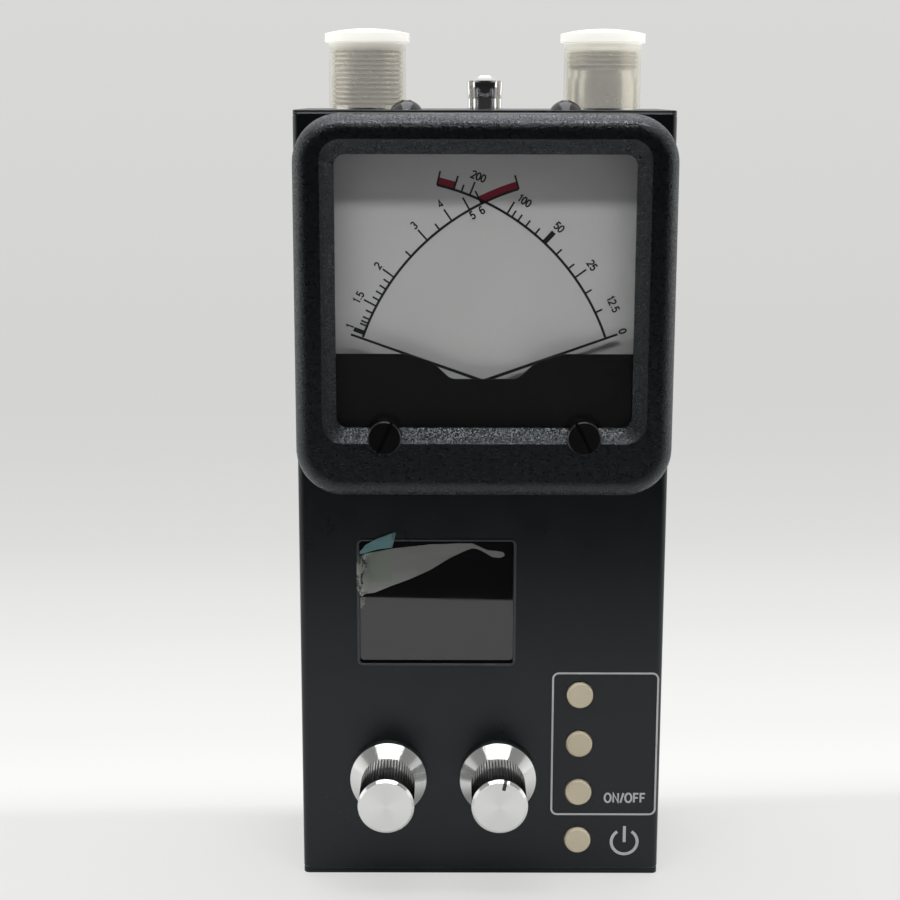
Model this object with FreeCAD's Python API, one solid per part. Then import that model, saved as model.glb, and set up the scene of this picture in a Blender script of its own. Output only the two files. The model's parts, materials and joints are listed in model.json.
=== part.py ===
import FreeCAD, Part
import math
import os
from FreeCAD import Vector

# Hand-held antenna analyzer with a cross-needle meter, in millimetres.
# +Z is up and the front faces -Y. The finished part's origin is the middle of the base plate.
# Every piece is first drawn with the front panel's outer plane at y = 0, then moved as it is saved.

# Driving dimensions of the case
CASE_W = 85.0
CASE_H = 180.6
CASE_D = 43.0
SHEET = 1.2
BEND_R = 1.6
LAP_GAP = 0.1
RIM_T = 0.7
RIM_DROP = 0.45

# Driving dimensions of the meter
METER_W = 83.5
METER_H = 83.7
METER_Z = 138.15
METER_OUT = 14.0
METER_CORNER = 10.5
METER_EDGE_R = 3.5
SURROUND_W = 71.4
SURROUND_H = 66.2
SURROUND_Z = 141.55
WINDOW_W = 65.4
WINDOW_H = 59.8
WINDOW_Z = 141.5
SURROUND_DEPTH = 2.2
PIVOT_X = 22.5
PIVOT_Z = 113.45
NEEDLE_REST_DEG = 19.5
NEEDLE_LEN = 55.2
ADJUSTER_X = 22.0
ADJUSTER_Z = 109.8
ADJUSTER_R = 3.74

# Driving dimensions of the controls
DISPLAY_X0, DISPLAY_X1 = -28.5, 7.3
DISPLAY_Z0, DISPLAY_Z1 = 53.2, 82.7
BUTTON_X = 23.15
BUTTON_Z0 = 9.15
BUTTON_PITCH = 12.12
BUTTON_COUNT = 4
BUTTON_R = 3.08
KNOB_Z = 25.15
BAND_X = -21.95
FREQ_X = 3.95
KNOB_OUT = 18.7
SKIRT_R = 9.0
BARREL_R = 6.45

# Driving dimensions of the top; its row of fittings sits a little right of the middle
TOP_ROW_X = 0.35
JACK_SPREAD = 27.15
JACK_Y = 22.0
THREAD_R = 7.94
THREAD_PITCH = 1.058
JACK_TOP = 196.0
CAP_OUTER_R = 8.93
CAP_INNER_R = 8.26
CAP_TOP = 198.8
CAP_DOME = 1.15
POST_TOP = 188.2
POST_R = 4.37
POST_WAIST_R = 4.13
TOP_SCREW_SPREAD = 17.8
TOP_SCREW_Y = 6.0

# Clearances
RUNNING = 0.05
FREE = 0.3

# Places worked out from the driving dimensions
HALF_W = CASE_W / 2
PLATE_TOP = CASE_H
PLATE_UNDER = CASE_H - SHEET
BACK_IN = CASE_D - SHEET
PANEL_TOP = CASE_H - SHEET - LAP_GAP
PANEL_BOTTOM = SHEET + LAP_GAP
RIM_TOP = CASE_H - RIM_DROP
LEFT_JACK_X = TOP_ROW_X - JACK_SPREAD
RIGHT_JACK_X = TOP_ROW_X + JACK_SPREAD
TOP_SCREWS_X = (TOP_ROW_X - TOP_SCREW_SPREAD, TOP_ROW_X + TOP_SCREW_SPREAD)
SIDE_IN = HALF_W - SHEET
BOARD_FRONT = 11.4
BOARD_T = 1.6
BOARD_BACK = BOARD_FRONT + BOARD_T
LENS_FRONT = -METER_OUT + SURROUND_DEPTH + 1.0
LENS_T = 1.5
LENS_BACK = LENS_FRONT + LENS_T
DIAL_FRONT = -4.9
DIAL_T = 0.7


def box(x0, x1, y0, y1, z0, z1):
    return Part.makeBox(x1 - x0, y1 - y0, z1 - z0, Vector(x0, y0, z0))


def rod_y(x, z, r, y0, y1):
    return Part.makeCylinder(r, y1 - y0, Vector(x, y0, z), Vector(0, 1, 0))


def rod_z(x, y, r, z0, z1):
    return Part.makeCylinder(r, z1 - z0, Vector(x, y, z0), Vector(0, 0, 1))


def rod_x(y, z, r, x0, x1):
    return Part.makeCylinder(r, x1 - x0, Vector(x0, y, z), Vector(1, 0, 0))


def fuse(first, *others):
    return first.fuse(list(others)).removeSplitter()


def bent_wire(corners, y):
    """Closed wire in the plane y through (x, z, radius) corners, each rounded by an arc."""
    bends = []
    for i, (x, z, r) in enumerate(corners):
        here = Vector(x, y, z)
        back_x, back_z, _ = corners[i - 1]
        next_x, next_z, _ = corners[(i + 1) % len(corners)]
        towards_back = (Vector(back_x, y, back_z) - here).normalize()
        towards_next = (Vector(next_x, y, next_z) - here).normalize()
        half = towards_back.getAngle(towards_next) / 2
        reach = r / math.tan(half)
        inward = (towards_back + towards_next).normalize()
        bends.append((here + towards_back * reach, here + inward * (r / math.sin(half) - r),
                      here + towards_next * reach))
    edges = []
    for i, (start, middle, end) in enumerate(bends):
        if (end - start).Length > 1e-6:
            edges.append(Part.Arc(start, middle, end).toShape())
        edges.append(Part.makeLine(end, bends[(i + 1) % len(bends)][0]))
    return Part.Wire(edges)


def rounded_wire(cx, cz, w, h, r, y):
    """Rounded rectangle in the plane y, centred on (cx, cz)."""
    corners = [(cx + sx * w / 2, cz + sz * h / 2, r) for sx, sz in ((1, 1), (-1, 1), (-1, -1), (1, -1))]
    return bent_wire(corners, y)


def rounded_slab(cx, cz, w, h, r, y0, y1):
    face = Part.Face(rounded_wire(cx, cz, w, h, r, y0))
    return face.extrude(Vector(0, y1 - y0, 0))


def turned_z(x, y, profile):
    """Solid of revolution about the vertical line through (x, y); profile is (radius, z) points."""
    points = [Vector(x + r, y, z) for r, z in profile]
    face = Part.Face(Part.makePolygon(points + points[:1]))
    return face.revolve(Vector(x, y, 0), Vector(0, 0, 1), 360)


def turned_y(x, z, profile):
    """Solid of revolution about the line along Y through (x, z); profile is (radius, y) points."""
    points = [Vector(x + r, y, z) for r, y in profile]
    face = Part.Face(Part.makePolygon(points + points[:1]))
    return face.revolve(Vector(x, 0, z), Vector(0, 1, 0), 360)


def fillet_where(shape, radius, test):
    edges = [e for e in shape.Edges if test(e)]
    return shape.makeFillet(radius, edges)


def in_plane(edge, axis, value):
    """True when every vertex and the middle of the edge lie at value along axis."""
    middle = edge.valueAt((edge.FirstParameter + edge.LastParameter) / 2)
    points = [v.Point for v in edge.Vertexes] + [middle]
    return all(abs(p[axis] - value) < 1e-4 for p in points)


def save(name, *shapes):
    """Move a piece so that the origin is the middle of the base plate, and write it."""
    solid = shapes[0] if len(shapes) == 1 else Part.makeCompound(list(shapes))
    solid = solid.translated(Vector(0, -CASE_D / 2, 0))
    solid.exportStep(os.path.join("parts", name + ".step"))


def button_z(index):
    return BUTTON_Z0 + BUTTON_PITCH * index


# Screw places, shared by the pieces they join
STUD_X = 36.6
STUD_DZ = 36.4
STUDS = [(sx * STUD_X, METER_Z + sz * STUD_DZ) for sx in (-1, 1) for sz in (-1, 1)]
SIDE_SCREW_Y = 36.8
SIDE_SCREWS_Z = (30.0, 150.0)
BOARD_HOLES = [(-36.0, 7.0), (36.0, 7.0), (-36.0, 91.0), (36.0, 91.0)]
RF_HOLES = [(-35.0, 116.0), (35.0, 116.0), (-35.0, 166.0), (35.0, 166.0)]
DOOR_X = 30.5
DOOR_Z0, DOOR_Z1 = 5.0, 99.0
DOOR_SCREWS_Z = (8.2, 95.8)
POWER_Y, POWER_Z = 18.0, 26.0
TUB_X = 33.2
TUB_Z0, TUB_Z1 = 101.5, 172.5
TUB_BACK = 18.0
SHANK_R = 1.4
M25_R = 1.25


# Folded sheet covers

def make_front_cover():
    """Front and sides in one sheet; a thin rim at the top stands in front of the top plate's edge."""
    cover = box(-HALF_W, HALF_W, 0, CASE_D, PANEL_BOTTOM, RIM_TOP)
    cover = fillet_where(cover, BEND_R, lambda e: in_plane(e, 1, 0) and e.BoundBox.XLength < 1)
    for z, crease in ((RIM_TOP, RIM_T - 0.1), (PANEL_BOTTOM, 0.9)):
        cover = fillet_where(cover, crease, lambda e: in_plane(e, 1, 0) and in_plane(e, 2, z))
    past = CASE_D + 1
    cover = cover.cut([box(-SIDE_IN, SIDE_IN, SHEET, past, PANEL_BOTTOM - 1, RIM_TOP + 1),
                       box(-HALF_W - 1, HALF_W + 1, RIM_T, past, PANEL_TOP, RIM_TOP + 1)])
    lip_x, lip_back = 39.6, 11.5
    for z0 in (PANEL_TOP - SHEET, PANEL_BOTTOM):
        cover = cover.fuse(box(-lip_x, lip_x, SHEET, lip_back, z0, z0 + SHEET))
    cover = fuse(cover, display_bead())
    knob_hole_r, stud_hole_r, side_hole_r, power_hole_r, tub_play = 3.6, 1.7, 1.6, 4.1, 0.4
    cutters = [rounded_slab(0, (TUB_Z0 + TUB_Z1) / 2, 2 * (TUB_X + tub_play), TUB_Z1 - TUB_Z0 + 2 * tub_play,
                            2, -1, 2)]
    cutters.append(display_opening(-1, 2))
    cutters += [rod_y(BUTTON_X, button_z(i), BUTTON_R + FREE, -1, 2) for i in range(BUTTON_COUNT)]
    cutters += [rod_y(x, KNOB_Z, knob_hole_r, -1, 2) for x in (BAND_X, FREQ_X)]
    cutters += [rod_y(x, z, stud_hole_r, -1, 2) for x, z in STUDS]
    cutters += [rod_z(x, TOP_SCREW_Y, SHANK_R, PANEL_TOP - 3, PANEL_TOP + 1) for x in TOP_SCREWS_X]
    cutters += [rod_x(SIDE_SCREW_Y, z, side_hole_r, -HALF_W - 1, HALF_W + 1) for z in SIDE_SCREWS_Z]
    cutters.append(rod_x(POWER_Y, POWER_Z, power_hole_r, -HALF_W - 1, -SIDE_IN + 1))
    return cover.cut(cutters)


def display_opening(y0, y1, grow=0.0):
    """Block that fills the display opening, or one wider by grow on every side."""
    corner_r = 0.8
    return rounded_slab((DISPLAY_X0 + DISPLAY_X1) / 2, (DISPLAY_Z0 + DISPLAY_Z1) / 2,
                        DISPLAY_X1 - DISPLAY_X0 + 2 * grow, DISPLAY_Z1 - DISPLAY_Z0 + 2 * grow,
                        corner_r + grow, y0, y1)


def display_bead():
    """Narrow rounded bead pressed round the edge of the display opening."""
    width, height, root = 0.6, 0.3, SHEET / 2
    bead = display_opening(-height, root, width).cut(display_opening(-height - 1, root + 1))
    return fillet_where(bead, height - 0.02, lambda e: in_plane(e, 1, -height))


def make_chassis():
    """Top, back and bottom plates in one sheet, with a tab inside each side of the cover."""
    front_y = RIM_T + LAP_GAP
    back_r, corner_r, edge_r = 1.0, 1.2, 0.25
    shell = box(-HALF_W, HALF_W, front_y, CASE_D, 0, CASE_H)
    shell = fillet_where(shell, back_r, lambda e: in_plane(e, 1, CASE_D) and abs(e.Length - CASE_W) < 1e-4)
    shell = shell.cut(box(-HALF_W - 1, HALF_W + 1, -1, BACK_IN, SHEET, PLATE_UNDER))
    for side in (-1, 1):
        x0, x1 = sorted((side * (SIDE_IN - LAP_GAP), side * (HALF_W + 1)))
        shell = shell.cut(box(x0, x1, -1, CASE_D + 1, PANEL_BOTTOM - LAP_GAP / 2, PANEL_TOP + LAP_GAP / 2))
    shell = fillet_where(shell, corner_r, lambda e: in_plane(e, 1, front_y) and e.BoundBox.XLength < 1)
    for z in (0, CASE_H):
        shell = fillet_where(shell, edge_r, lambda e: in_plane(e, 1, front_y) and in_plane(e, 2, z))
    tab_y, tab_margin = 32.0, 6.0
    for side in (-1, 1):
        x0, x1 = sorted((side * (SIDE_IN - LAP_GAP), side * (SIDE_IN - LAP_GAP - SHEET)))
        shell = shell.fuse(box(x0, x1, tab_y, BACK_IN + SHEET / 2, tab_margin, CASE_H - tab_margin))
    shell = shell.cut(box(-DOOR_X, DOOR_X, BACK_IN - 1, CASE_D + 1, DOOR_Z0, DOOR_Z1))
    ledge_x, ledge_y0, ledge_y1, ledge_reach = 7.0, BACK_IN - 1.4, BACK_IN - 0.2, 5.4
    ledges = [box(-ledge_x, ledge_x, ledge_y0, ledge_y1, DOOR_Z1 - ledge_reach, DOOR_Z1 + 4),
              box(-ledge_x, ledge_x, ledge_y0, BACK_IN, DOOR_Z1, DOOR_Z1 + 4),
              box(-ledge_x, ledge_x, ledge_y0, ledge_y1, SHEET, DOOR_Z0 + ledge_reach),
              box(-ledge_x, ledge_x, ledge_y0, BACK_IN, SHEET, DOOR_Z0)]
    shell = shell.fuse(ledges).removeSplitter()
    cutters = [rod_y(0, z, M25_R + 0.1, BACK_IN - 3, CASE_D) for z in DOOR_SCREWS_Z]
    screw_hole_r = 1.6
    below, above = PLATE_UNDER - 1, PLATE_TOP + 1
    cutters += [rod_z(x, JACK_Y, THREAD_R + RUNNING, below, above) for x in (LEFT_JACK_X, RIGHT_JACK_X)]
    cutters.append(rod_z(TOP_ROW_X, JACK_Y, POST_WAIST_R + FREE, below, above))
    cutters += [rod_z(x, TOP_SCREW_Y, screw_hole_r, below, above) for x in TOP_SCREWS_X]
    cutters += [rod_x(SIDE_SCREW_Y, z, SHANK_R, -HALF_W, HALF_W) for z in SIDE_SCREWS_Z]
    return shell.cut(cutters)


def make_battery_door():
    gap = FREE
    door = rounded_slab(0, (DOOR_Z0 + DOOR_Z1) / 2, 2 * (DOOR_X - gap), DOOR_Z1 - DOOR_Z0 - 2 * gap, 0.6,
                        BACK_IN + 0.1, CASE_D)
    grip_pitch, grip_w, grip_h, grip_depth, grip_count = 2.4, 22.0, 1.2, 0.5, 5
    cutters = []
    for i in range(grip_count):
        z = DOOR_Z1 - 14 - grip_pitch * i
        cutters.append(box(-grip_w / 2, grip_w / 2, CASE_D - grip_depth, CASE_D + 1, z, z + grip_h))
    for z in DOOR_SCREWS_Z:
        cutters.append(rod_y(0, z, M25_R + 0.05, BACK_IN - 1, CASE_D + 1))
        cutters.append(countersunk_head(z, 0.05))
    return door.cut(cutters)


def countersunk_head(z, grow):
    head_r, head_t = 2.4, 0.9
    profile = [(0, CASE_D - head_t), (M25_R + grow, CASE_D - head_t), (head_r + grow, CASE_D - 0.05),
               (0, CASE_D - 0.05)]
    return turned_y(0, z, profile)


def make_door_screws():
    screws = []
    slot_w, slot_depth = 0.7, 0.45
    for z in DOOR_SCREWS_Z:
        screw = fuse(countersunk_head(z, 0), rod_y(0, z, M25_R, CASE_D - 2.8, CASE_D - 0.9))
        slot = box(-3, 3, CASE_D - slot_depth, CASE_D + 1, z - slot_w / 2, z + slot_w / 2)
        screws.append(screw.cut(slot))
    return screws


# Meter

def make_meter_bezel():
    body = rounded_slab(0, METER_Z, METER_W, METER_H, METER_CORNER, -METER_OUT, 0)
    body = fillet_where(body, METER_EDGE_R, lambda e: in_plane(e, 1, -METER_OUT))
    slope_back = -METER_OUT + SURROUND_DEPTH
    surround_r, window_r, boss_r, wall = 4.5, 2.4, 3.0, 3.2
    outer = rounded_wire(0, SURROUND_Z, SURROUND_W, SURROUND_H, surround_r, -METER_OUT)
    inner = rounded_wire(0, WINDOW_Z, WINDOW_W, WINDOW_H, window_r, slope_back)
    body = body.cut(Part.makeLoft([outer, inner], True))
    body = body.cut(rounded_slab(0, WINDOW_Z, WINDOW_W, WINDOW_H, window_r, slope_back, 0))
    cavity = rounded_slab(0, METER_Z, METER_W - 2 * wall, METER_H - 2 * wall, METER_CORNER - wall,
                          LENS_FRONT, 1)
    body = body.cut(cavity)
    bosses = [rod_y(x, z, boss_r, LENS_BACK + 0.1, 0) for x, z in STUDS]
    body = body.fuse(bosses).removeSplitter()
    holes = [rod_y(x, z, M25_R, -6, 1) for x, z in STUDS]
    holes += [rod_y(sx * ADJUSTER_X, ADJUSTER_Z, ADJUSTER_R + RUNNING, -METER_OUT - 1, LENS_FRONT + 1)
              for sx in (-1, 1)]
    return body.cut(holes)


def make_meter_lens():
    lens_z, lens_w, lens_h, corner_r = 140.3, 72.0, 67.0, 3.0
    lens = rounded_slab(0, lens_z, lens_w, lens_h, corner_r, LENS_FRONT, LENS_BACK)
    holes = [rod_y(sx * ADJUSTER_X, ADJUSTER_Z, ADJUSTER_R + FREE, LENS_FRONT - 1, LENS_BACK + 1)
             for sx in (-1, 1)]
    return lens.cut(holes)


def make_meter_tub():
    wall = 1.5
    front = DIAL_FRONT + DIAL_T
    z_mid, height = (TUB_Z0 + TUB_Z1) / 2, TUB_Z1 - TUB_Z0
    tub = rounded_slab(0, z_mid, 2 * TUB_X, height, 1.6, front, TUB_BACK)
    hollow = rounded_slab(0, z_mid, 2 * (TUB_X - wall), height - 2 * wall, 0.8, front - 1, TUB_BACK - wall)
    return tub.cut(hollow)


def make_dial_plate():
    dial_z, dial_w, corner_r, spindle_hole_r = 138.0, 69.0, 1.0, 2.2
    dial = rounded_slab(0, dial_z, dial_w, dial_w, corner_r, DIAL_FRONT, DIAL_FRONT + DIAL_T)
    holes = [rod_y(sx * PIVOT_X, PIVOT_Z, spindle_hole_r, DIAL_FRONT - 1, DIAL_FRONT + 2) for sx in (-1, 1)]
    return dial.cut(holes)


MASK_FRONT = -8.2
MASK_T = 0.4
MASK_HALF_W = 33.6
MASK_BASE_Z = 103.5
MASK_TOP_Z = 127.7
MASK_DIP_Z = 122.1
MASK_SHOULDER_X = 17.2
MASK_KNEE = (11.5, 125.9)
MASK_DIP_X = 7.4


def make_dial_mask():
    """Black front mask over the pivots, with a valley between its shoulders and four posts to the dial."""
    right = [(MASK_DIP_X, MASK_DIP_Z, 3.0), (*MASK_KNEE, 5.0), (MASK_SHOULDER_X, MASK_TOP_Z, 5.0),
             (MASK_HALF_W, MASK_TOP_Z, 0), (MASK_HALF_W, MASK_BASE_Z, 0)]
    left = [(-x, z, r) for x, z, r in reversed(right)]
    plate = Part.Face(bent_wire(right + left, MASK_FRONT)).extrude(Vector(0, MASK_T, 0))
    post_x, post_r, pin_hole_r = 31.5, 1.2, 2.6
    posts = [rod_y(sx * post_x, z, post_r, MASK_FRONT + MASK_T / 2, DIAL_FRONT) for sx in (-1, 1)
             for z in (MASK_BASE_Z + 2.5, MASK_TOP_Z - 3.7)]
    mask = fuse(plate, *posts)
    holes = [rod_y(sx * ADJUSTER_X, ADJUSTER_Z, pin_hole_r, MASK_FRONT - 1, MASK_FRONT + 1) for sx in (-1, 1)]
    return mask.cut(holes)


YOKE_Y0, YOKE_Y1 = 3.4, 13.4
YOKE_IN, YOKE_OUT = 7.0, 9.1
CORE_R = 5.0
COIL_REACH = 6.3
COIL_W = 2.2
SPINDLE_R = 0.6


def make_movement(side):
    """Fixed magnet ring, core and bearing bridges of one movement; side is -1 or 1 along X."""
    x = side * PIVOT_X
    ring = rod_y(x, PIVOT_Z, YOKE_OUT, YOKE_Y0, YOKE_Y1)
    ring = ring.cut(rod_y(x, PIVOT_Z, YOKE_IN, YOKE_Y0 - 1, YOKE_Y1 + 1))
    core = rod_y(x, PIVOT_Z, CORE_R, YOKE_Y0, YOKE_Y1)
    web = box(x - 1.5, x + 1.5, YOKE_Y0 + 2, YOKE_Y1 - 2, PIVOT_Z - YOKE_IN - 1, PIVOT_Z + YOKE_IN + 1)
    post_w, post_in = 1.6, YOKE_IN + 0.5
    pieces = [core, web]
    bridge_t, front_bridge, rear_bridge = 0.8, 0.2, 15.2
    for y in (front_bridge, rear_bridge):
        pieces.append(box(x - YOKE_OUT, x + YOKE_OUT, y, y + bridge_t, PIVOT_Z - 2, PIVOT_Z + 2))
    for sx in (-1, 1):
        x0, x1 = sorted((x + sx * post_in, x + sx * (post_in + post_w)))
        pieces.append(box(x0, x1, front_bridge + bridge_t, YOKE_Y0 + 0.5, PIVOT_Z - 2, PIVOT_Z + 2))
        pieces.append(box(x0, x1, YOKE_Y1 - 0.5, rear_bridge, PIVOT_Z - 2, PIVOT_Z + 2))
    whole = ring.fuse(pieces)
    bore = rod_y(x, PIVOT_Z, SPINDLE_R + RUNNING, front_bridge - 1, front_bridge + bridge_t + 1)
    rear_bore = rod_y(x, PIVOT_Z, SPINDLE_R + RUNNING, rear_bridge - 1, rear_bridge + bridge_t + 1)
    return whole.cut([bore, rear_bore]).removeSplitter()


def make_coil(side, needle_y):
    """Moving coil frame with its two spindle ends; the front one carries the needle."""
    x = side * PIVOT_X
    y0, y1, bar = YOKE_Y0 - 1.2, YOKE_Y1 + 1.2, 0.7
    frame = box(x - COIL_REACH, x + COIL_REACH, y0, y1, PIVOT_Z - COIL_W / 2, PIVOT_Z + COIL_W / 2)
    inner = COIL_REACH - bar
    window = box(x - inner, x + inner, y0 + bar, y1 - bar, PIVOT_Z - COIL_W, PIVOT_Z + COIL_W)
    front = rod_y(x, PIVOT_Z, SPINDLE_R, needle_y - 0.3, y0 + bar / 2)
    rear = rod_y(x, PIVOT_Z, SPINDLE_R, y1 - bar / 2, 16.3)
    return frame.cut(window).fuse([front, rear]).removeSplitter()


def make_hairspring(side):
    """Flat spiral of half rings about the spindle, in front of the coil."""
    x = side * PIVOT_X
    y0, y1 = 1.35, 1.75
    strip, step, turns = 0.16, 0.5, 4
    collar = rod_y(x, PIVOT_Z, 1.1, y0, y1).cut(rod_y(x, PIVOT_Z, SPINDLE_R, y0 - 1, y1 + 1))
    halves = []
    for half in range(2 * turns):
        shift = step / 4 if half % 2 else -step / 4
        r = 1.0 + step / 4 + step / 2 * half
        ring = rod_y(x + shift, PIVOT_Z, r + strip, y0, y1).cut(rod_y(x + shift, PIVOT_Z, r, y0 - 1, y1 + 1))
        z0 = PIVOT_Z if half % 2 else PIVOT_Z - 6
        halves.append(ring.common(box(x - 8, x + 8, y0 - 1, y1 + 1, z0, z0 + 6)))
    return collar.fuse(halves).removeSplitter()


def make_needle(side, y0, y1):
    """Pointer with hub and balance tail; side is the pivot's side, and the tip points the other way."""
    x = side * PIVOT_X
    hub = rod_y(x, PIVOT_Z, 1.6, y0, y1)
    root_half, tip_half, tail = 0.45, 0.22, 6.5
    outline = [(-tail, root_half), (-tail, -root_half), (0, -root_half), (NEEDLE_LEN, -tip_half),
               (NEEDLE_LEN, tip_half), (0, root_half)]
    points = [Vector(x - side * a, y0, PIVOT_Z + b) for a, b in outline]
    blade = Part.Face(Part.makePolygon(points + points[:1])).extrude(Vector(0, y1 - y0, 0))
    weight = rod_y(x + side * (tail - 1), PIVOT_Z, 1.1, y0, y1)
    needle = fuse(hub, blade, weight).cut(rod_y(x, PIVOT_Z, SPINDLE_R, y0 - 1, y1 + 1))
    needle.rotate(Vector(x, 0, PIVOT_Z), Vector(0, 1, 0), side * NEEDLE_REST_DEG)
    return needle


def make_adjuster(side, slot_deg):
    """Zero adjuster: slotted head, retaining collar and eccentric pin."""
    x = side * ADJUSTER_X
    face = -METER_OUT - 0.7
    collar_back = LENS_BACK + 0.7
    edge, collar_r = 0.25, 4.6
    head = turned_y(x, ADJUSTER_Z, [(0, face), (ADJUSTER_R - edge, face), (ADJUSTER_R, face + edge),
                                    (ADJUSTER_R, LENS_BACK + 0.1), (collar_r, LENS_BACK + 0.1),
                                    (collar_r, collar_back), (0, collar_back)])
    pin_offset, pin_r = 1.5, 0.6
    pin = rod_y(x + pin_offset, ADJUSTER_Z, pin_r, collar_back - 0.2, MASK_FRONT + 0.6)
    slot_w, slot_depth = 0.75, 1.0
    slot = box(x - 5, x + 5, face - 1, face + slot_depth, ADJUSTER_Z - slot_w / 2, ADJUSTER_Z + slot_w / 2)
    slot.rotate(Vector(x, 0, ADJUSTER_Z), Vector(0, 1, 0), slot_deg)
    return fuse(head, pin).cut(slot)


def hex_nut_y(x, z, across, y0, y1, bore_r):
    r = across / math.sqrt(3)
    points = [Vector(x + r * math.cos(math.radians(60 * i)), y0, z + r * math.sin(math.radians(60 * i)))
              for i in range(6)]
    prism = Part.Face(Part.makePolygon(points + points[:1])).extrude(Vector(0, y1 - y0, 0))
    return prism.cut(rod_y(x, z, bore_r, y0 - 1, y1 + 1))


# Display

def make_display():
    margin = 2.5
    x0, x1 = DISPLAY_X0 - margin, DISPLAY_X1 + margin
    z0, z1 = DISPLAY_Z0 - margin, DISPLAY_Z1 + margin
    glass_back = SHEET + 1.3
    module_back, board_back = 5.4, 6.6
    save("display_window", box(x0, x1, SHEET, glass_back, z0, z1))
    save("display_module", box(x0 + 0.4, x1 - 0.4, glass_back + 0.1, module_back, z0 + 0.4, z1 - 0.4))
    board = box(x0 - 1, x1 + 1, module_back, board_back, z0 - 4, z1 + 1)
    pin_count, pin_pitch, pin_w, bar_margin = 10, 2.54, 0.6, 1.0
    pin_x, pin_z = x0 + 4, z0 - 3
    pins = []
    for i in range(pin_count):
        left = pin_x + pin_pitch * i
        pins.append(box(left, left + pin_w, board_back, BOARD_FRONT, pin_z, pin_z + pin_w))
    bar_right = pin_x + pin_pitch * (pin_count - 1) + pin_w + bar_margin
    bar = box(pin_x - bar_margin, bar_right, board_back + 0.4, BOARD_FRONT - 0.4,
              pin_z - bar_margin, pin_z + pin_w + bar_margin)
    save("display_board", fuse(board, bar, *pins))
    film_t, film_inset = 0.12, 0.5
    film = box(DISPLAY_X0 + film_inset, DISPLAY_X1 - film_inset, SHEET - film_t, SHEET,
               DISPLAY_Z0 + film_inset, DISPLAY_Z1 - film_inset)
    pull_tab = box(DISPLAY_X0 + 1.0, DISPLAY_X0 + 9.0, -0.65, -0.4, DISPLAY_Z1 - 3.0, DISPLAY_Z1 + 1.9)
    save("display_film", film, pull_tab)


# Buttons, switches and knobs

SWITCH_FRONT = 7.9


def make_button(index):
    z = button_z(index)
    cap_front, flange_front, flange_back, stem_end = -1.1, SHEET + 0.15, SHEET + 1.0, 8.7
    profile = [(0, cap_front), (BUTTON_R - 0.35, cap_front), (BUTTON_R, cap_front + 0.35),
               (BUTTON_R, flange_front), (BUTTON_R + 0.8, flange_front), (BUTTON_R + 0.8, flange_back),
               (1.7, flange_back), (1.7, stem_end), (0, stem_end)]
    return turned_y(BUTTON_X, z, profile)


def make_button_switches():
    switches = []
    half = 3.0
    for i in range(BUTTON_COUNT):
        z = button_z(i)
        body = box(BUTTON_X - half, BUTTON_X + half, SWITCH_FRONT, BOARD_FRONT, z - half, z + half)
        switches.append(body.cut(rod_y(BUTTON_X, z, 1.7 + 0.1, SWITCH_FRONT - 1, SWITCH_FRONT + 1.5)))
    return switches


SHAFT_R = 3.0
SHAFT_BACK = 8.4
BUSH_R = 3.5
BUSH_FRONT = -2.8


def make_rotary(x, half):
    """Rotary switch or encoder: square body with a threaded bush through the panel."""
    body = box(x - half, x + half, 4.9, BOARD_FRONT, KNOB_Z - half, KNOB_Z + half)
    bush = rod_y(x, KNOB_Z, BUSH_R, BUSH_FRONT, 5.5)
    bore = rod_y(x, KNOB_Z, SHAFT_R + RUNNING, BUSH_FRONT - 1, SHAFT_BACK + 0.4)
    return fuse(body, bush).cut(bore)


def make_shaft(x):
    shaft = rod_y(x, KNOB_Z, SHAFT_R, -KNOB_OUT + 2.4, SHAFT_BACK)
    flat = box(x - 4, x + 4, -KNOB_OUT + 1, BUSH_FRONT - 2, KNOB_Z - SHAFT_R - 1, KNOB_Z - SHAFT_R + 0.5)
    return shaft.cut(flat)


SET_SCREW_R = 1.5
SET_SCREW_Y = -9.0
KNURL_COUNT = 54
KNURL_DEPTH = 0.28


def make_knob(x):
    """Turned aluminium knob: rim, conical skirt, knurled barrel and a bevelled flat face."""
    skirt_back, rim_front, skirt_front = -0.3, -2.3, -4.7
    bevel, collar, edge = 0.55, 0.4, 0.15
    knurl_front = -KNOB_OUT + bevel + collar
    crest_r = BARREL_R - 0.1
    core_r = crest_r - KNURL_DEPTH
    profile = [(0, skirt_back), (SKIRT_R - edge, skirt_back), (SKIRT_R, skirt_back - edge),
               (SKIRT_R, rim_front), (core_r, skirt_front), (core_r, knurl_front), (BARREL_R, knurl_front),
               (BARREL_R, -KNOB_OUT + bevel), (BARREL_R - bevel, -KNOB_OUT), (0, -KNOB_OUT)]
    turned = turned_y(x, KNOB_Z, profile)
    points = []
    for i in range(2 * KNURL_COUNT):
        r = crest_r if i % 2 else core_r
        a = math.pi * i / KNURL_COUNT
        points.append(Vector(x + r * math.cos(a), knurl_front, KNOB_Z + r * math.sin(a)))
    knurl = Part.Face(Part.makePolygon(points + points[:1])).extrude(Vector(0, skirt_front - knurl_front, 0))
    knob = turned.fuse(knurl)
    hollow_r, hollow_front, face_t = 7.0, -3.0, 2.3
    hollow = rod_y(x, KNOB_Z, hollow_r, hollow_front, 0)
    bore = rod_y(x, KNOB_Z, SHAFT_R + RUNNING, -KNOB_OUT + face_t, 0)
    tap = rod_z(x, SET_SCREW_Y, SET_SCREW_R, KNOB_Z - BARREL_R - 1, KNOB_Z)
    return knob.cut([hollow, bore, tap])


def make_set_screw(x):
    top = KNOB_Z - SHAFT_R + 0.5
    screw = rod_z(x, SET_SCREW_Y, SET_SCREW_R, KNOB_Z - BARREL_R + 0.6, top)
    return screw.cut(rod_z(x, SET_SCREW_Y, 0.7, KNOB_Z - BARREL_R, KNOB_Z - BARREL_R + 2.2))


# Connectors, caps and selector on the top

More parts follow.
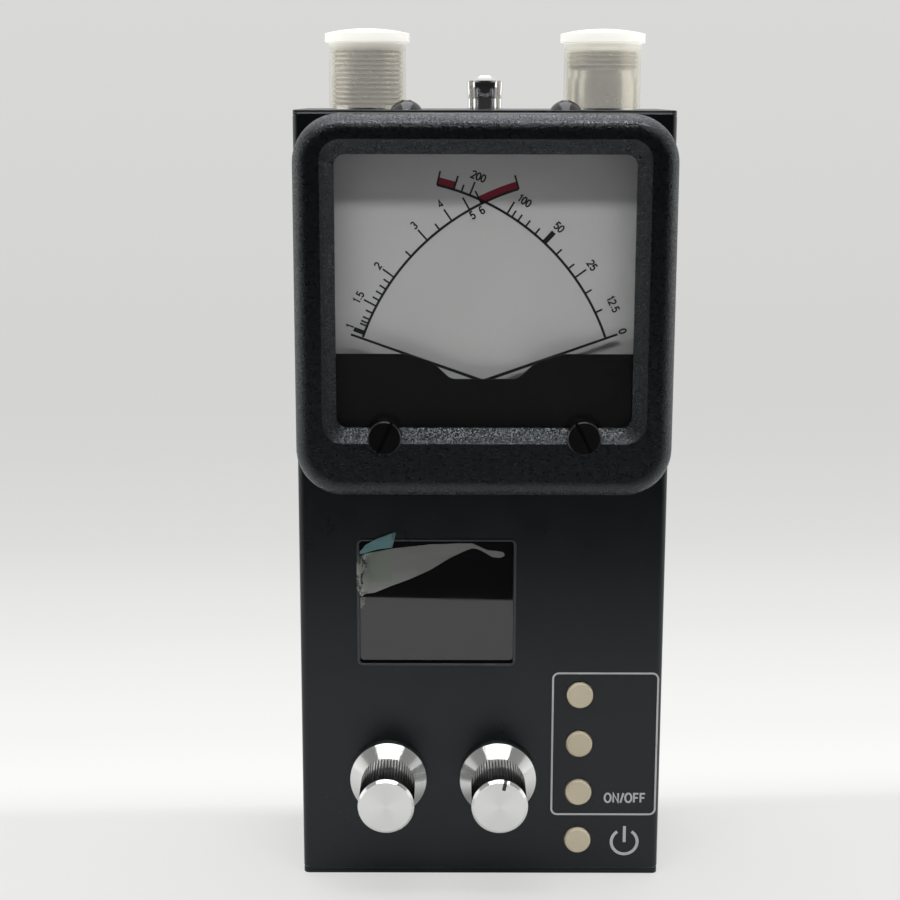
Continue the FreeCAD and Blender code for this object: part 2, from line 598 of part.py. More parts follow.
def thread_profile(z_top, z_bottom):
    """Radius and height points of a threaded length, from the top down."""
    depth, crest = 0.5, 0.12
    points = []
    turns = int((z_top - z_bottom) / THREAD_PITCH)
    for i in range(turns):
        z = z_top - THREAD_PITCH * i
        points += [(THREAD_R, z - crest), (THREAD_R - depth, z - THREAD_PITCH / 2),
                   (THREAD_R, z - THREAD_PITCH + crest)]
    return points


JACK_FLANGE_Z = PLATE_UNDER
JACK_FLANGE_R = 9.5
JACK_FLANGE_T = 1.8
JACK_REAR = 173.2
JACK_REAR_R = 6.2
INSULATOR_END = JACK_REAR + 0.6
CONTACT_END = 170.0
CONTACT_STEM_R = 1.2


def contact_strap(x):
    """Short strap from a jack's centre contact back to the radio board."""
    half_w, thick = 1.0, 0.6
    return box(x - half_w, x + half_w, JACK_Y, RF_FRONT, CONTACT_END - thick, CONTACT_END + 0.1)


def jack_foot():
    """Radius and height points of the flange under the plate and the rear sleeve, from the top down."""
    below_flange = JACK_FLANGE_Z - JACK_FLANGE_T
    return [(THREAD_R, JACK_FLANGE_Z), (JACK_FLANGE_R, JACK_FLANGE_Z), (JACK_FLANGE_R, below_flange),
            (JACK_REAR_R, below_flange), (JACK_REAR_R, JACK_REAR)]


def jack_core(x, core_r, insulator_top, contact_top, contact_r, socket_r, socket_depth):
    """Insulator ring and hollow centre contact of a jack, which lie inside the radius core_r."""
    insulator = turned_z(x, JACK_Y, [(contact_r, insulator_top), (core_r, insulator_top),
                                     (core_r, INSULATOR_END), (contact_r, INSULATOR_END)])
    socket_end = contact_top - socket_depth
    contact = turned_z(x, JACK_Y, [(socket_r, contact_top), (contact_r, contact_top),
                                   (contact_r, INSULATOR_END), (CONTACT_STEM_R, INSULATOR_END),
                                   (CONTACT_STEM_R, CONTACT_END), (0, CONTACT_END), (0, socket_end),
                                   (socket_r, socket_end)])
    return insulator, contact.fuse(contact_strap(x))


def make_uhf_jack():
    """Threaded shell of the left jack, with a notched rim and a recess for the plug's nose."""
    x = LEFT_JACK_X
    rim_r, socket_r, socket_floor, rim_bottom = 7.3, 6.1, 190.8, 194.1
    core_r, edge = 5.0, 0.2
    profile = [(socket_r, JACK_TOP), (rim_r - edge, JACK_TOP), (rim_r, JACK_TOP - edge), (rim_r, rim_bottom)]
    profile += thread_profile(rim_bottom, PLATE_TOP + 0.2)
    profile += jack_foot() + [(core_r, JACK_REAR), (core_r, socket_floor), (socket_r, socket_floor)]
    shell = turned_z(x, JACK_Y, profile)
    notch_half, notch_depth, notch_count = 1.1, 1.9, 4
    for i in range(notch_count):
        corner = [Vector(x - notch_half, JACK_Y, JACK_TOP + 0.1),
                  Vector(x + notch_half, JACK_Y, JACK_TOP + 0.1),
                  Vector(x, JACK_Y, JACK_TOP - notch_depth)]
        wedge = Part.Face(Part.makePolygon(corner + corner[:1])).extrude(Vector(0, -10, 0))
        wedge.rotate(Vector(x, JACK_Y, 0), Vector(0, 0, 1), 90 * i)
        shell = shell.cut(wedge)
    insulator, contact = jack_core(x, core_r, insulator_top=191.2, contact_top=191.6, contact_r=2.9,
                                   socket_r=2.05, socket_depth=8.6)
    return shell, insulator, contact


def make_n_jack():
    """Right jack: a short thread at the top, a relief and a plain barrel below it."""
    x = RIGHT_JACK_X
    bore_r, bore_floor, core_r = 4.05, 185.0, 3.4
    thread_top, thread_end, shoulder_z = 193.9, 189.4, 187.6
    rim_r, relief_r, edge = 7.4, 7.35, 0.5
    profile = [(bore_r, thread_top), (rim_r, thread_top), (rim_r + 0.1, thread_top - edge)]
    profile += thread_profile(thread_top - edge, thread_end)
    profile += [(relief_r, thread_end), (relief_r, shoulder_z), (THREAD_R, shoulder_z)]
    profile += jack_foot() + [(core_r, JACK_REAR), (core_r, bore_floor), (bore_r, bore_floor)]
    shell = turned_z(x, JACK_Y, profile)
    insulator, contact = jack_core(x, core_r, insulator_top=bore_floor, contact_top=191.6, contact_r=1.5,
                                   socket_r=0.85, socket_depth=5.5)
    return shell, insulator, contact


def make_dust_cap(x):
    """Soft translucent cup over a jack, with a thicker rim at its domed closed end."""
    flange_r, flange_t, edge = 9.75, 2.1, 0.2
    mouth = PLATE_TOP + 0.35
    flange_bottom = CAP_TOP - CAP_DOME - flange_t
    inner_top = JACK_TOP + 0.5
    profile = [(CAP_INNER_R, mouth), (CAP_OUTER_R, mouth), (CAP_OUTER_R, flange_bottom),
               (flange_r - edge, flange_bottom), (flange_r, flange_bottom + edge), (flange_r, CAP_TOP),
               (0, CAP_TOP), (0, inner_top), (CAP_INNER_R, inner_top)]
    dome_r = (flange_r ** 2 + CAP_DOME ** 2) / (2 * CAP_DOME)
    dome = Part.makeSphere(dome_r, Vector(x, JACK_Y, CAP_TOP - dome_r))
    return turned_z(x, JACK_Y, profile).common(dome)


SELECTOR_STEM_R = 1.5
SELECTOR_BODY_TOP = 174.5


def make_selector_cap():
    cap_bottom, stem_end = 177.4, 170.5
    profile = [(0, POST_TOP), (1.9, POST_TOP), (2.6, POST_TOP - 0.5), (3.5, POST_TOP - 0.85),
               (POST_R - 0.1, POST_TOP - 1.1), (POST_R, POST_TOP - 1.5), (POST_R - 0.04, POST_TOP - 2.6),
               (POST_WAIST_R + 0.08, POST_TOP - 4.2), (POST_WAIST_R, POST_TOP - 5.2),
               (POST_WAIST_R, cap_bottom),
               (SELECTOR_STEM_R, cap_bottom), (SELECTOR_STEM_R, stem_end), (0, stem_end)]
    return turned_z(TOP_ROW_X, JACK_Y, profile)


def make_selector_switch():
    """Push switch that hangs under the top plate in its own bracket."""
    half, body_bottom, bore_end = 3.6, 164.0, 167.8
    foot_z0, foot_z1 = 168.0, 169.2
    y0, y1 = JACK_Y - half, JACK_Y + half
    body = box(TOP_ROW_X - half, TOP_ROW_X + half, y0, y1, body_bottom, SELECTOR_BODY_TOP)
    bore = rod_z(TOP_ROW_X, JACK_Y, SELECTOR_STEM_R + 0.08, bore_end, SELECTOR_BODY_TOP + 1)
    post_in, post_out = half + 1.2, half + 2.4
    foot = box(TOP_ROW_X - post_out, TOP_ROW_X + post_out, y0, y1, foot_z0, foot_z1)
    posts = []
    for side in (-1, 1):
        x0, x1 = sorted((TOP_ROW_X + side * post_in, TOP_ROW_X + side * post_out))
        posts.append(box(x0, x1, y0, y1, foot_z0, PLATE_UNDER))
    return fuse(body, foot, *posts).cut(bore)


# Fasteners

def dome_screw_z(x, y):
    """Dome-head screw on the top plate, with a cross recess."""
    head_r, head_h, shank_end = 3.6, 2.2, 174.5
    ball_r = (head_r ** 2 + head_h ** 2) / (2 * head_h)
    ball = Part.makeSphere(ball_r, Vector(x, y, PLATE_TOP + head_h - ball_r))
    head = ball.common(rod_z(x, y, head_r, PLATE_TOP, PLATE_TOP + head_h + 1))
    recess_w, recess_l, recess_depth = 0.8, 3.0, 0.9
    top = PLATE_TOP + head_h
    slots = []
    for turn in (45, 135):
        slot = box(x - recess_l / 2, x + recess_l / 2, y - recess_w / 2, y + recess_w / 2,
                   top - recess_depth, top + 1)
        slot.rotate(Vector(x, y, 0), Vector(0, 0, 1), turn)
        slots.append(slot)
    return fuse(head, rod_z(x, y, SHANK_R, shank_end, PLATE_TOP + 0.2)).cut(slots)


def side_screw(side, z):
    head_r, head_h, shank = 2.6, 1.3, 6.0
    x0, x1 = sorted((side * HALF_W, side * (HALF_W + head_h)))
    head = rod_x(SIDE_SCREW_Y, z, head_r, x0, x1)
    head = fillet_where(head, 0.6, lambda e: in_plane(e, 0, side * (HALF_W + head_h)))
    s0, s1 = sorted((side * (HALF_W - shank), side * (HALF_W + 0.1)))
    far0, far1 = sorted((side * (HALF_W + head_h - 0.7), side * (HALF_W + head_h + 1)))
    slots = [box(far0, far1, SIDE_SCREW_Y - 1.4, SIDE_SCREW_Y + 1.4, z - 0.35, z + 0.35),
             box(far0, far1, SIDE_SCREW_Y - 0.35, SIDE_SCREW_Y + 0.35, z - 1.4, z + 1.4)]
    return fuse(head, rod_x(SIDE_SCREW_Y, z, SHANK_R, s0, s1)).cut(slots)


def board_screw(x, z, seat_y, outward):
    """Pan-head screw seated at seat_y, its head on the outward side along Y."""
    head = sorted((seat_y, seat_y + outward * 1.5))
    shank = sorted((seat_y, seat_y - outward * 6.5))
    return fuse(rod_y(x, z, 2.4, *head), rod_y(x, z, M25_R, *shank))


# Inner electronics and power

RF_FRONT = 27.0
RF_BACK = RF_FRONT + BOARD_T
CELL_R = 7.1
CELL_LEN = 50.0
CELL_PITCH = 15.6
CELL_Z0 = 12.2
CELL_Y = 33.4
CELL_COUNT = 6
TRAY_WALL_X = 27.4


def make_boards():
    half_w, hole_r = 38.0, 1.45
    control_z0, control_z1, rf_z0, rf_z1 = 4.0, 94.0, 112.0, 170.0
    control = box(-half_w, half_w, BOARD_FRONT, BOARD_BACK, control_z0, control_z1)
    control = control.cut([rod_y(x, z, hole_r, BOARD_FRONT - 1, BOARD_BACK + 1) for x, z in BOARD_HOLES])
    rf = box(-half_w, half_w, RF_FRONT, RF_BACK, rf_z0, rf_z1)
    rf = rf.cut([rod_y(x, z, hole_r, RF_FRONT - 1, RF_BACK + 1) for x, z in RF_HOLES])
    save("control_board", control)
    save("rf_board", rf)
    save("board_screws", *[board_screw(x, z, BOARD_BACK, 1) for x, z in BOARD_HOLES],
         *[board_screw(x, z, RF_FRONT, -1) for x, z in RF_HOLES])


def make_standoffs():
    """Spacers of the control board on the front panel and of the radio board on the back."""
    spacer_r, blind_front, blind_back = 2.5, 2.0, 4.0
    spacers = []
    for x, z in BOARD_HOLES:
        hole = rod_y(x, z, M25_R, SHEET + blind_front, BOARD_FRONT + 1)
        spacers.append(rod_y(x, z, spacer_r, SHEET, BOARD_FRONT).cut(hole))
    for x, z in RF_HOLES:
        hole = rod_y(x, z, M25_R, RF_BACK - 1, BACK_IN - blind_back)
        spacers.append(rod_y(x, z, spacer_r, RF_BACK, BACK_IN).cut(hole))
    return spacers


def make_shield_can():
    half_w, z0, z1, wall = 29.0, 118.0, 162.0, 0.4
    front = TUB_BACK + 2 * FREE
    can = box(-half_w, half_w, front, RF_FRONT, z0, z1)
    return can.cut(box(wall - half_w, half_w - wall, front + wall, RF_FRONT + 1, z0 + wall, z1 - wall))


def make_ribbon_cable():
    x0, x1, thick = 31.0, 37.0, 0.6
    rise_y, low_z, high_z = 22.0, 86.0, 121.0
    return fuse(box(x0, x1, BOARD_BACK, rise_y + thick, low_z, low_z + thick),
                box(x0, x1, rise_y, rise_y + thick, low_z, high_z),
                box(x0, x1, rise_y, RF_FRONT, high_z - thick, high_z))


def make_battery_pack():
    """Tray, round cells laid head to tail, and their plates and springs."""
    tray_wall, tray_floor, tray_back, end_margin = 1.8, 1.3, 38.0, 8.2
    nub_r, nub_len, plate_half, spring_r0, spring_r1 = 2.7, 1.0, 4.0, 2.4, 4.2
    half = CELL_LEN / 2
    trough_r = CELL_R + 0.2
    tray_top = CELL_Z0 + CELL_PITCH * (CELL_COUNT - 1) + end_margin
    tray = box(-TRAY_WALL_X - tray_wall, TRAY_WALL_X + tray_wall, CELL_Y - CELL_R - tray_floor, tray_back,
               CELL_Z0 - end_margin, tray_top)
    troughs, cells, contacts = [], [], []
    for i in range(CELL_COUNT):
        z = CELL_Z0 + CELL_PITCH * i
        end = 1 if i % 2 else -1
        troughs.append(rod_x(CELL_Y, z, trough_r, -TRAY_WALL_X, TRAY_WALL_X))
        troughs.append(box(-TRAY_WALL_X, TRAY_WALL_X, CELL_Y, tray_back + 1, z - trough_r, z + trough_r))
        nub = sorted((end * half, end * (half + nub_len)))
        cells.append(fuse(rod_x(CELL_Y, z, CELL_R, -half, half), rod_x(CELL_Y, z, nub_r, *nub)))
        plate_x0, plate_x1 = sorted((end * (half + nub_len), end * TRAY_WALL_X))
        contacts.append(box(plate_x0, plate_x1, CELL_Y - plate_half, CELL_Y + plate_half,
                            z - plate_half, z + plate_half))
        contacts.append(Part.makeCone(spring_r0, spring_r1, TRAY_WALL_X - half,
                                      Vector(-end * half, CELL_Y, z), Vector(-end, 0, 0)))
    save("battery_holder", tray.cut(troughs))
    save("battery_cells", *cells)
    save("battery_contacts", *contacts)


def make_power_socket():
    body_x, body_half, nose_r, nose_out = -30.5, 5.0, 4.0, 0.4
    bore_r, bore_end, pin_r, pin_tip, pin_root = 2.9, -33.0, 1.0, -41.8, -32.5
    socket = fuse(box(-SIDE_IN, body_x, BOARD_BACK, POWER_Y + body_half, POWER_Z - body_half,
                      POWER_Z + body_half),
                  rod_x(POWER_Y, POWER_Z, nose_r, -HALF_W - nose_out, -SIDE_IN))
    socket = socket.cut(rod_x(POWER_Y, POWER_Z, bore_r, -HALF_W - 1, bore_end))
    return socket.fuse(rod_x(POWER_Y, POWER_Z, pin_r, pin_tip, pin_root))


def main():
    os.makedirs("parts", exist_ok=True)
    save("front_cover", make_front_cover())
    save("chassis", make_chassis())
    save("battery_door", make_battery_door())
    save("battery_door_screws", *make_door_screws())

    save("meter_bezel", make_meter_bezel())
    save("meter_lens", make_meter_lens())
    save("meter_tub", make_meter_tub())
    save("dial_plate", make_dial_plate())
    save("dial_mask", make_dial_mask())
    save("meter_screws", *[board_screw(x, z, SHEET, 1) for x, z in STUDS])
    for name, side, y0, y1 in (("swr", 1, -7.3, -6.9), ("ohms", -1, -6.3, -5.9)):
        save(name + "_movement", make_movement(side))
        save(name + "_coil", make_coil(side, y0))
        save(name + "_hairspring", make_hairspring(side))
        save(name + "_needle", make_needle(side, y0, y1))
    save("left_zero_adjuster", make_adjuster(-1, -65))
    save("right_zero_adjuster", make_adjuster(1, 62))

    make_display()
    for i in range(BUTTON_COUNT):
        save("button_%d" % (i + 1), make_button(BUTTON_COUNT - 1 - i))
    save("button_switches", *make_button_switches())
    save("band_switch", make_rotary(BAND_X, 7.5))
    save("frequency_encoder", make_rotary(FREQ_X, 6.5))
    for name, x in (("band", BAND_X), ("frequency", FREQ_X)):
        save(name + "_shaft", make_shaft(x))
        save(name + "_knob", make_knob(x))
        save(name + "_set_screw", make_set_screw(x))
    save("bush_nuts", *[hex_nut_y(x, KNOB_Z, 10.0, -2.0, 0.0, BUSH_R) for x in (BAND_X, FREQ_X)])

    for name, pieces in (("uhf_jack", make_uhf_jack()), ("n_jack", make_n_jack())):
        for part_name, piece in zip(("shell", "insulator", "contact"), pieces):
            save(name + "_" + part_name, piece)
    save("uhf_dust_cap", make_dust_cap(LEFT_JACK_X))
    save("n_dust_cap", make_dust_cap(RIGHT_JACK_X))
    save("selector_cap", make_selector_cap())
    save("selector_switch", make_selector_switch())

    save("top_screws", *[dome_screw_z(x, TOP_SCREW_Y) for x in TOP_SCREWS_X])
    save("side_screws", *[side_screw(side, z) for side in (-1, 1) for z in SIDE_SCREWS_Z])
    make_boards()
    save("standoffs", *make_standoffs())
    save("rf_shield_can", make_shield_can())
    save("ribbon_cable", make_ribbon_cable())
    make_battery_pack()
    save("power_socket", make_power_socket())


main()
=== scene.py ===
import json
import math

import bpy
from mathutils import Matrix, Vector


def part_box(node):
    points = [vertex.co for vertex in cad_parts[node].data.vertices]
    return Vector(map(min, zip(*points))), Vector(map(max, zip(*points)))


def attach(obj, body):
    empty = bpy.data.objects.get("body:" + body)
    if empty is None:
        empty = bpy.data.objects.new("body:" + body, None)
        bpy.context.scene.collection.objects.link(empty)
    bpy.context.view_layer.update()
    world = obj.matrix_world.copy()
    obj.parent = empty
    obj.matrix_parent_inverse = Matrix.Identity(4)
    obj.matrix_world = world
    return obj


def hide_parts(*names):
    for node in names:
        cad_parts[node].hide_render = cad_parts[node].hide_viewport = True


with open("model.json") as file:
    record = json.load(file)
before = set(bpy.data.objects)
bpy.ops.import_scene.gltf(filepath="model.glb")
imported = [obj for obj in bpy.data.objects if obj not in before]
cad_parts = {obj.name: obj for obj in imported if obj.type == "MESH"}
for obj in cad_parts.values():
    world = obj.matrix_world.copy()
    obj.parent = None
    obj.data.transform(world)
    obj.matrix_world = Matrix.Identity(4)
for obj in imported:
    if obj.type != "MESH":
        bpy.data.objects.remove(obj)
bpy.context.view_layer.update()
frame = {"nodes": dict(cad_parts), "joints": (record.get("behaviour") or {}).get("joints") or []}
nodes = frame["nodes"]

# Lengths are in mm. The grain of the materials, the stage, the lamps and the camera are in metres.
MM = 0.001


# Places taken from the frame

def corners(node):
    """Lowest and highest corner of a CAD node at rest, in mm."""
    return [[round(value / MM, 2) for value in corner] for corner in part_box(node)]


def axis_of(joint):
    """The x and z, in mm, of a joint's axis, which runs along y."""
    x, y, z = next(each["pos_m"] for each in frame["joints"] if each["name"] == joint)
    return round(x / MM, 2), round(z / MM, 2)


# The meter's bezel stands on the front panel, so its back gives the panel's outer plane.
(_, BEZEL_Y, BEZEL_Z0), (BEZEL_X1, FRONT_Y, BEZEL_Z1) = corners("meter_bezel")
METER_Z = (BEZEL_Z0 + BEZEL_Z1) / 2
SHEEN_WIDTH = 4.25     # how far in from its outline the bezel's edge has a painted sheen
SHEEN_REACH = BEZEL_X1 - SHEEN_WIDTH
BEAD_Y = corners("front_cover")[0][1]        # front of the raised edge round the display
DIAL_Y = corners("dial_plate")[0][1]         # face of the dial plate
GLASS_Y = corners("display_window")[0][1]    # front of the display window
PIVOT_X, PIVOT_Z = axis_of("swr_sweep")

# The knobs: a skirt at the panel, then a knurled barrel, then a plain end.
BAND_AXIS = axis_of("band_turn")
FREQ_AXIS = axis_of("frequency_turn")
SKIRT_Y = FRONT_Y - 4.75
BARREL_END_Y = FRONT_Y - 17.4
BARREL_INSIDE = 5.6   # what lies further out than this, between skirt and end, is the barrel's wall
KNURL_TEETH = 54
HIGHLIGHT_START = 5.6    # the barrel's painted highlight, next to the skirt, fades out between these distances from it
HIGHLIGHT_END = 4.4
POINTER_START = 4.1   # distance of the pointer's inner end from the axis
POINTER_WIDTH = 0.84
POINTER_TURN = 12.0   # degrees clockwise from straight up

# The jacks and their dust caps.
CAP_FLANGE = 3.3      # from a cap's top down to the underside of its flange
UHF_THREAD = 14.5     # from each jack's rim down to the start of its thread
N_THREAD = 4.5
FLANGE_Z = corners("uhf_dust_cap")[1][2] - CAP_FLANGE
UHF_THREAD_START = corners("uhf_jack_shell")[1][2] - UHF_THREAD
N_THREAD_START = corners("n_jack_shell")[1][2] - N_THREAD
THREAD_PITCH = 1.058


# Node trees

NOISE_ROUGHNESS = 0.55


class Nodes:
    """A node tree being put together."""

    def __init__(self, tree):
        self.tree = tree
        self.tree.nodes.clear()

    def node(self, kind, **settings):
        made = self.tree.nodes.new(kind)
        for key, value in settings.items():
            setattr(made, key, value)
        return made

    def put(self, socket, value):
        """Links a socket to the value, or sets it where the value is a number or a colour."""
        if isinstance(value, bpy.types.NodeSocket):
            self.tree.links.new(value, socket)
        elif isinstance(value, (tuple, list)) and len(value) == 3 and socket.type == "RGBA":
            socket.default_value = (*value, 1.0)
        else:
            socket.default_value = value

    def math(self, operation, a, b=0.0):
        n = self.node("ShaderNodeMath", operation=operation)
        self.put(n.inputs[0], a)
        self.put(n.inputs[1], b)
        return n.outputs[0]

    def times(self, a, b):
        return self.math("MULTIPLY", a, b)

    def plus(self, a, b):
        return self.math("ADD", a, b)

    def above(self, value, limit):
        """1 where the value is greater than the limit, and 0 elsewhere."""
        return self.math("GREATER_THAN", value, limit)

    def below(self, value, limit):
        return self.math("LESS_THAN", value, limit)

    def between(self, value, low, high):
        return self.times(self.above(value, low), self.below(value, high))

    def split(self, vector):
        n = self.node("ShaderNodeSeparateXYZ")
        self.put(n.inputs[0], vector)
        return n.outputs[0], n.outputs[1], n.outputs[2]

    def vector(self, x, y, z):
        n = self.node("ShaderNodeCombineXYZ")
        for socket, value in zip(n.inputs, (x, y, z)):
            self.put(socket, value)
        return n.outputs[0]

    def fit(self, value, low, high, to_low=0.0, to_high=1.0):
        """Maps low to high onto to_low to to_high, and stays within those."""
        n = self.node("ShaderNodeMapRange")
        for socket, v in zip(n.inputs, (value, low, high, to_low, to_high)):
            self.put(socket, v)
        return n.outputs[0]

    def mix(self, share, a, b):
        """A colour from a to b by share."""
        return self.mixed("RGBA", share, a, b)

    def level(self, share, a, b):
        """A number from a to b by share."""
        return self.mixed("FLOAT", share, a, b)

    def mixed(self, kind, share, a, b):
        n = self.node("ShaderNodeMix", data_type=kind)
        self.put(n.inputs["Factor"], share)
        self.put(n.inputs["A"], a)
        self.put(n.inputs["B"], b)
        return n.outputs["Result"]

    def ray(self, kind):
        return self.node("ShaderNodeLightPath").outputs["Is %s Ray" % kind]


class Shade(Nodes):
    """A material, with its pattern fixed to the part it is on."""

    def __init__(self, name):
        self.mat = bpy.data.materials.new(name)
        self.mat.use_nodes = True
        super().__init__(self.mat.node_tree)
        self.out = self.node("ShaderNodeOutputMaterial")
        self.coord = self.node("ShaderNodeTexCoord").outputs["Object"]

    def axes(self):
        """The place on the part, in mm."""
        return [self.times(part, 1.0 / MM) for part in self.split(self.coord)]

    def noise(self, scale, detail=3.0, vector=None, stretch=None):
        source = self.coord if vector is None else vector
        if stretch is not None:
            m = self.node("ShaderNodeMapping")
            self.put(m.inputs["Vector"], source)
            self.put(m.inputs["Scale"], stretch)
            source = m.outputs[0]
        n = self.node("ShaderNodeTexNoise")
        self.put(n.inputs["Vector"], source)
        self.put(n.inputs["Scale"], scale)
        self.put(n.inputs["Detail"], detail)
        self.put(n.inputs["Roughness"], NOISE_ROUGHNESS)
        return n.outputs[0]

    def spread(self, pattern, low, high):
        """A number from low to high that follows a noise pattern."""
        return self.fit(pattern, 0.3, 0.7, low, high)

    def tone(self, pattern, dark, light):
        """A colour from dark to light that follows a noise pattern."""
        return self.mix(self.fit(pattern, 0.3, 0.7), dark, light)

    def bump(self, height, depth, strength):
        n = self.node("ShaderNodeBump")
        self.put(n.inputs["Height"], height)
        self.put(n.inputs["Distance"], depth)
        self.put(n.inputs["Strength"], strength)
        return n.outputs[0]

    def principled(self, **values):
        n = self.node("ShaderNodeBsdfPrincipled")
        for key, value in values.items():
            self.put(n.inputs[key.replace("_", " ")], value)
        return n.outputs[0]

    def blend(self, share, a, b):
        n = self.node("ShaderNodeMixShader")
        self.put(n.inputs[0], share)
        self.put(n.inputs[1], a)
        self.put(n.inputs[2], b)
        return n.outputs[0]

    def clear(self, tint):
        n = self.node("ShaderNodeBsdfTransparent")
        self.put(n.inputs[0], tint)
        return n.outputs[0]

    def diffuse(self, colour):
        n = self.node("ShaderNodeBsdfDiffuse")
        self.put(n.inputs["Color"], colour)
        return n.outputs[0]

    def translucent(self, colour):
        n = self.node("ShaderNodeBsdfTranslucent")
        self.put(n.inputs["Color"], colour)
        return n.outputs[0]

    def glow(self, colour):
        n = self.node("ShaderNodeEmission")
        self.put(n.inputs["Color"], colour)
        return n.outputs[0]

    def done(self, shader):
        self.put(self.out.inputs["Surface"], shader)
        return self.mat


# Materials

COOL_SHEEN = (0.88, 0.95, 1.0)      # the slightly blue sheen of the black paint and plastic
BEAD_PROUD = 0.06     # paint that stands off the panel by more than this is on the raised edge


def plain(name, dark, light, rough, grain=900.0, depth=2e-5, metal=0.0):
    """A finish whose colour, gloss and surface vary with a fine grain."""
    s = Shade(name)
    fine = s.noise(grain)
    broad = s.noise(45.0, detail=4.0)
    return s.done(s.principled(
        Base_Color=s.tone(broad, dark, light), Roughness=s.spread(s.noise(grain * 0.3), *rough),
        Metallic=metal, Normal=s.bump(fine, depth, 0.3)))


def black_paint():
    """Satin enamel, faint orange peel and a little settled dust. The raised edge has a lighter painted
    highlight.
    """
    s = Shade("black_paint")
    peel = s.noise(700.0, detail=2.0)
    dust = s.fit(s.noise(2600.0, detail=1.0), 0.68, 0.8)
    colour = s.tone(s.noise(30.0), (0.0022, 0.0024, 0.0029), (0.0034, 0.0036, 0.0042))
    colour = s.mix(s.times(dust, 0.12), colour, (0.05, 0.05, 0.052))
    x, y, z = s.axes()
    # Painted highlight: the raised edge round the display is painted a lighter grey.
    colour = s.mix(s.below(y, FRONT_Y - BEAD_PROUD), colour, (0.045, 0.045, 0.048))
    return s.done(s.principled(
        Base_Color=colour, Roughness=s.spread(s.noise(160.0, detail=5.0), 0.27, 0.33),
        IOR=1.465, Specular_Tint=COOL_SHEEN, Normal=s.bump(peel, 1.5e-5, 0.15)))


def bezel_plastic():
    """Black moulding with a spark-eroded grain.

    The grain is deep where the face bends back. The rounded outer edge has a painted sheen: its
    reflectance is raised above the plastic's own, most of all along the top, where it catches the light.
    """
    s = Shade("bezel_plastic")
    x, y, z = s.axes()
    grain = s.fit(s.noise(3200.0, detail=1.0), 0.47, 0.75)
    colour = s.tone(s.noise(40.0), (0.0024, 0.0025, 0.0028), (0.0036, 0.0037, 0.0041))
    bend = s.fit(y, BEZEL_Y + 0.02, BEZEL_Y + 1.5)
    rise = s.math("SUBTRACT", z, METER_Z)
    reach = s.math("MAXIMUM", s.math("ABSOLUTE", x), s.math("ABSOLUTE", rise))
    # Painted sheen: the rounded outer edge reflects more, and more still towards the top.
    edge_sheen = s.times(s.above(reach, SHEEN_REACH), bend)
    top_sheen_ior = s.fit(z, METER_Z + SHEEN_REACH, METER_Z + SHEEN_REACH + 2.5, 1.75, 2.4)
    return s.done(s.principled(
        Base_Color=colour, Roughness=s.spread(s.noise(900.0), 0.24, 0.34),
        IOR=s.level(edge_sheen, s.level(bend, 1.46, 1.55), top_sheen_ior), Specular_Tint=COOL_SHEEN,
        Normal=s.bump(grain, 2.6e-4, s.level(bend, 0.3, 1.0))))


def pointer_mask(s, dx, dz):
    """1 on the pointer's line, which starts off the axis and runs out to the rim."""
    sine = math.sin(math.radians(POINTER_TURN))
    cosine = math.cos(math.radians(POINTER_TURN))
    across = s.plus(s.times(dx, cosine), s.times(dz, -sine))
    along = s.plus(s.times(dx, sine), s.times(dz, cosine))
    narrow = s.below(s.math("ABSOLUTE", across), POINTER_WIDTH / 2)
    return s.times(narrow, s.above(along, POINTER_START))


def turned_metal(name, axis, pointer=False):
    """Bright turned aluminium, grooved round the knob's axis, with a knurled barrel.

    The knurl's grooves are painted dark, a painted shade, and the barrel has a painted highlight next
    to the skirt and a darker painted shade further out. The pointer, where there is one, is a black
    line let into the end.
    """
    s = Shade(name)
    x, y, z = s.axes()
    dx = s.math("SUBTRACT", x, axis[0])
    dz = s.math("SUBTRACT", z, axis[1])
    radius = s.math("SQRT", s.plus(s.times(dx, dx), s.times(dz, dz)))
    groove = s.noise(9.0, detail=2.0, vector=s.vector(radius, s.times(y, 0.6), 0.0))
    turned = s.tone(groove, (0.70, 0.705, 0.695), (0.75, 0.755, 0.745))
    barrel = s.times(s.between(y, BARREL_END_Y, SKIRT_Y), s.above(radius, BARREL_INSIDE))
    # Painted shade: the knurl's grooves are painted dark.
    wave = s.math("COSINE", s.times(s.math("ARCTAN2", dx, dz), KNURL_TEETH))
    knurl_shade = s.times(s.fit(wave, -0.2, 0.5), barrel)
    # Painted highlight on the barrel next to the skirt, painted shade (a darker grey) further out.
    skirt_highlight = s.fit(y, SKIRT_Y - HIGHLIGHT_START, SKIRT_Y - HIGHLIGHT_END)
    barrel_light_and_shade = s.mix(skirt_highlight, (0.42, 0.42, 0.42), (0.96, 0.96, 0.95))
    colour = s.mix(knurl_shade, s.mix(barrel, turned, barrel_light_and_shade), (0.05, 0.05, 0.05))
    metal = 1.0
    if pointer:
        line = s.times(pointer_mask(s, dx, dz), s.below(y, BARREL_END_Y))
        colour = s.mix(line, colour, (0.02, 0.02, 0.022))
        metal = s.math("SUBTRACT", 1.0, line)
    tangent = s.node("ShaderNodeTangent", direction_type="RADIAL", axis="Y")
    return s.done(s.principled(
        Base_Color=colour, Metallic=metal, Roughness=s.spread(groove, 0.20, 0.25),
        Anisotropic=s.level(barrel, 0.85, 0.0), Anisotropic_Rotation=0.25, Tangent=tangent.outputs[0],
        Normal=s.bump(groove, 1.5e-6, 0.3)))


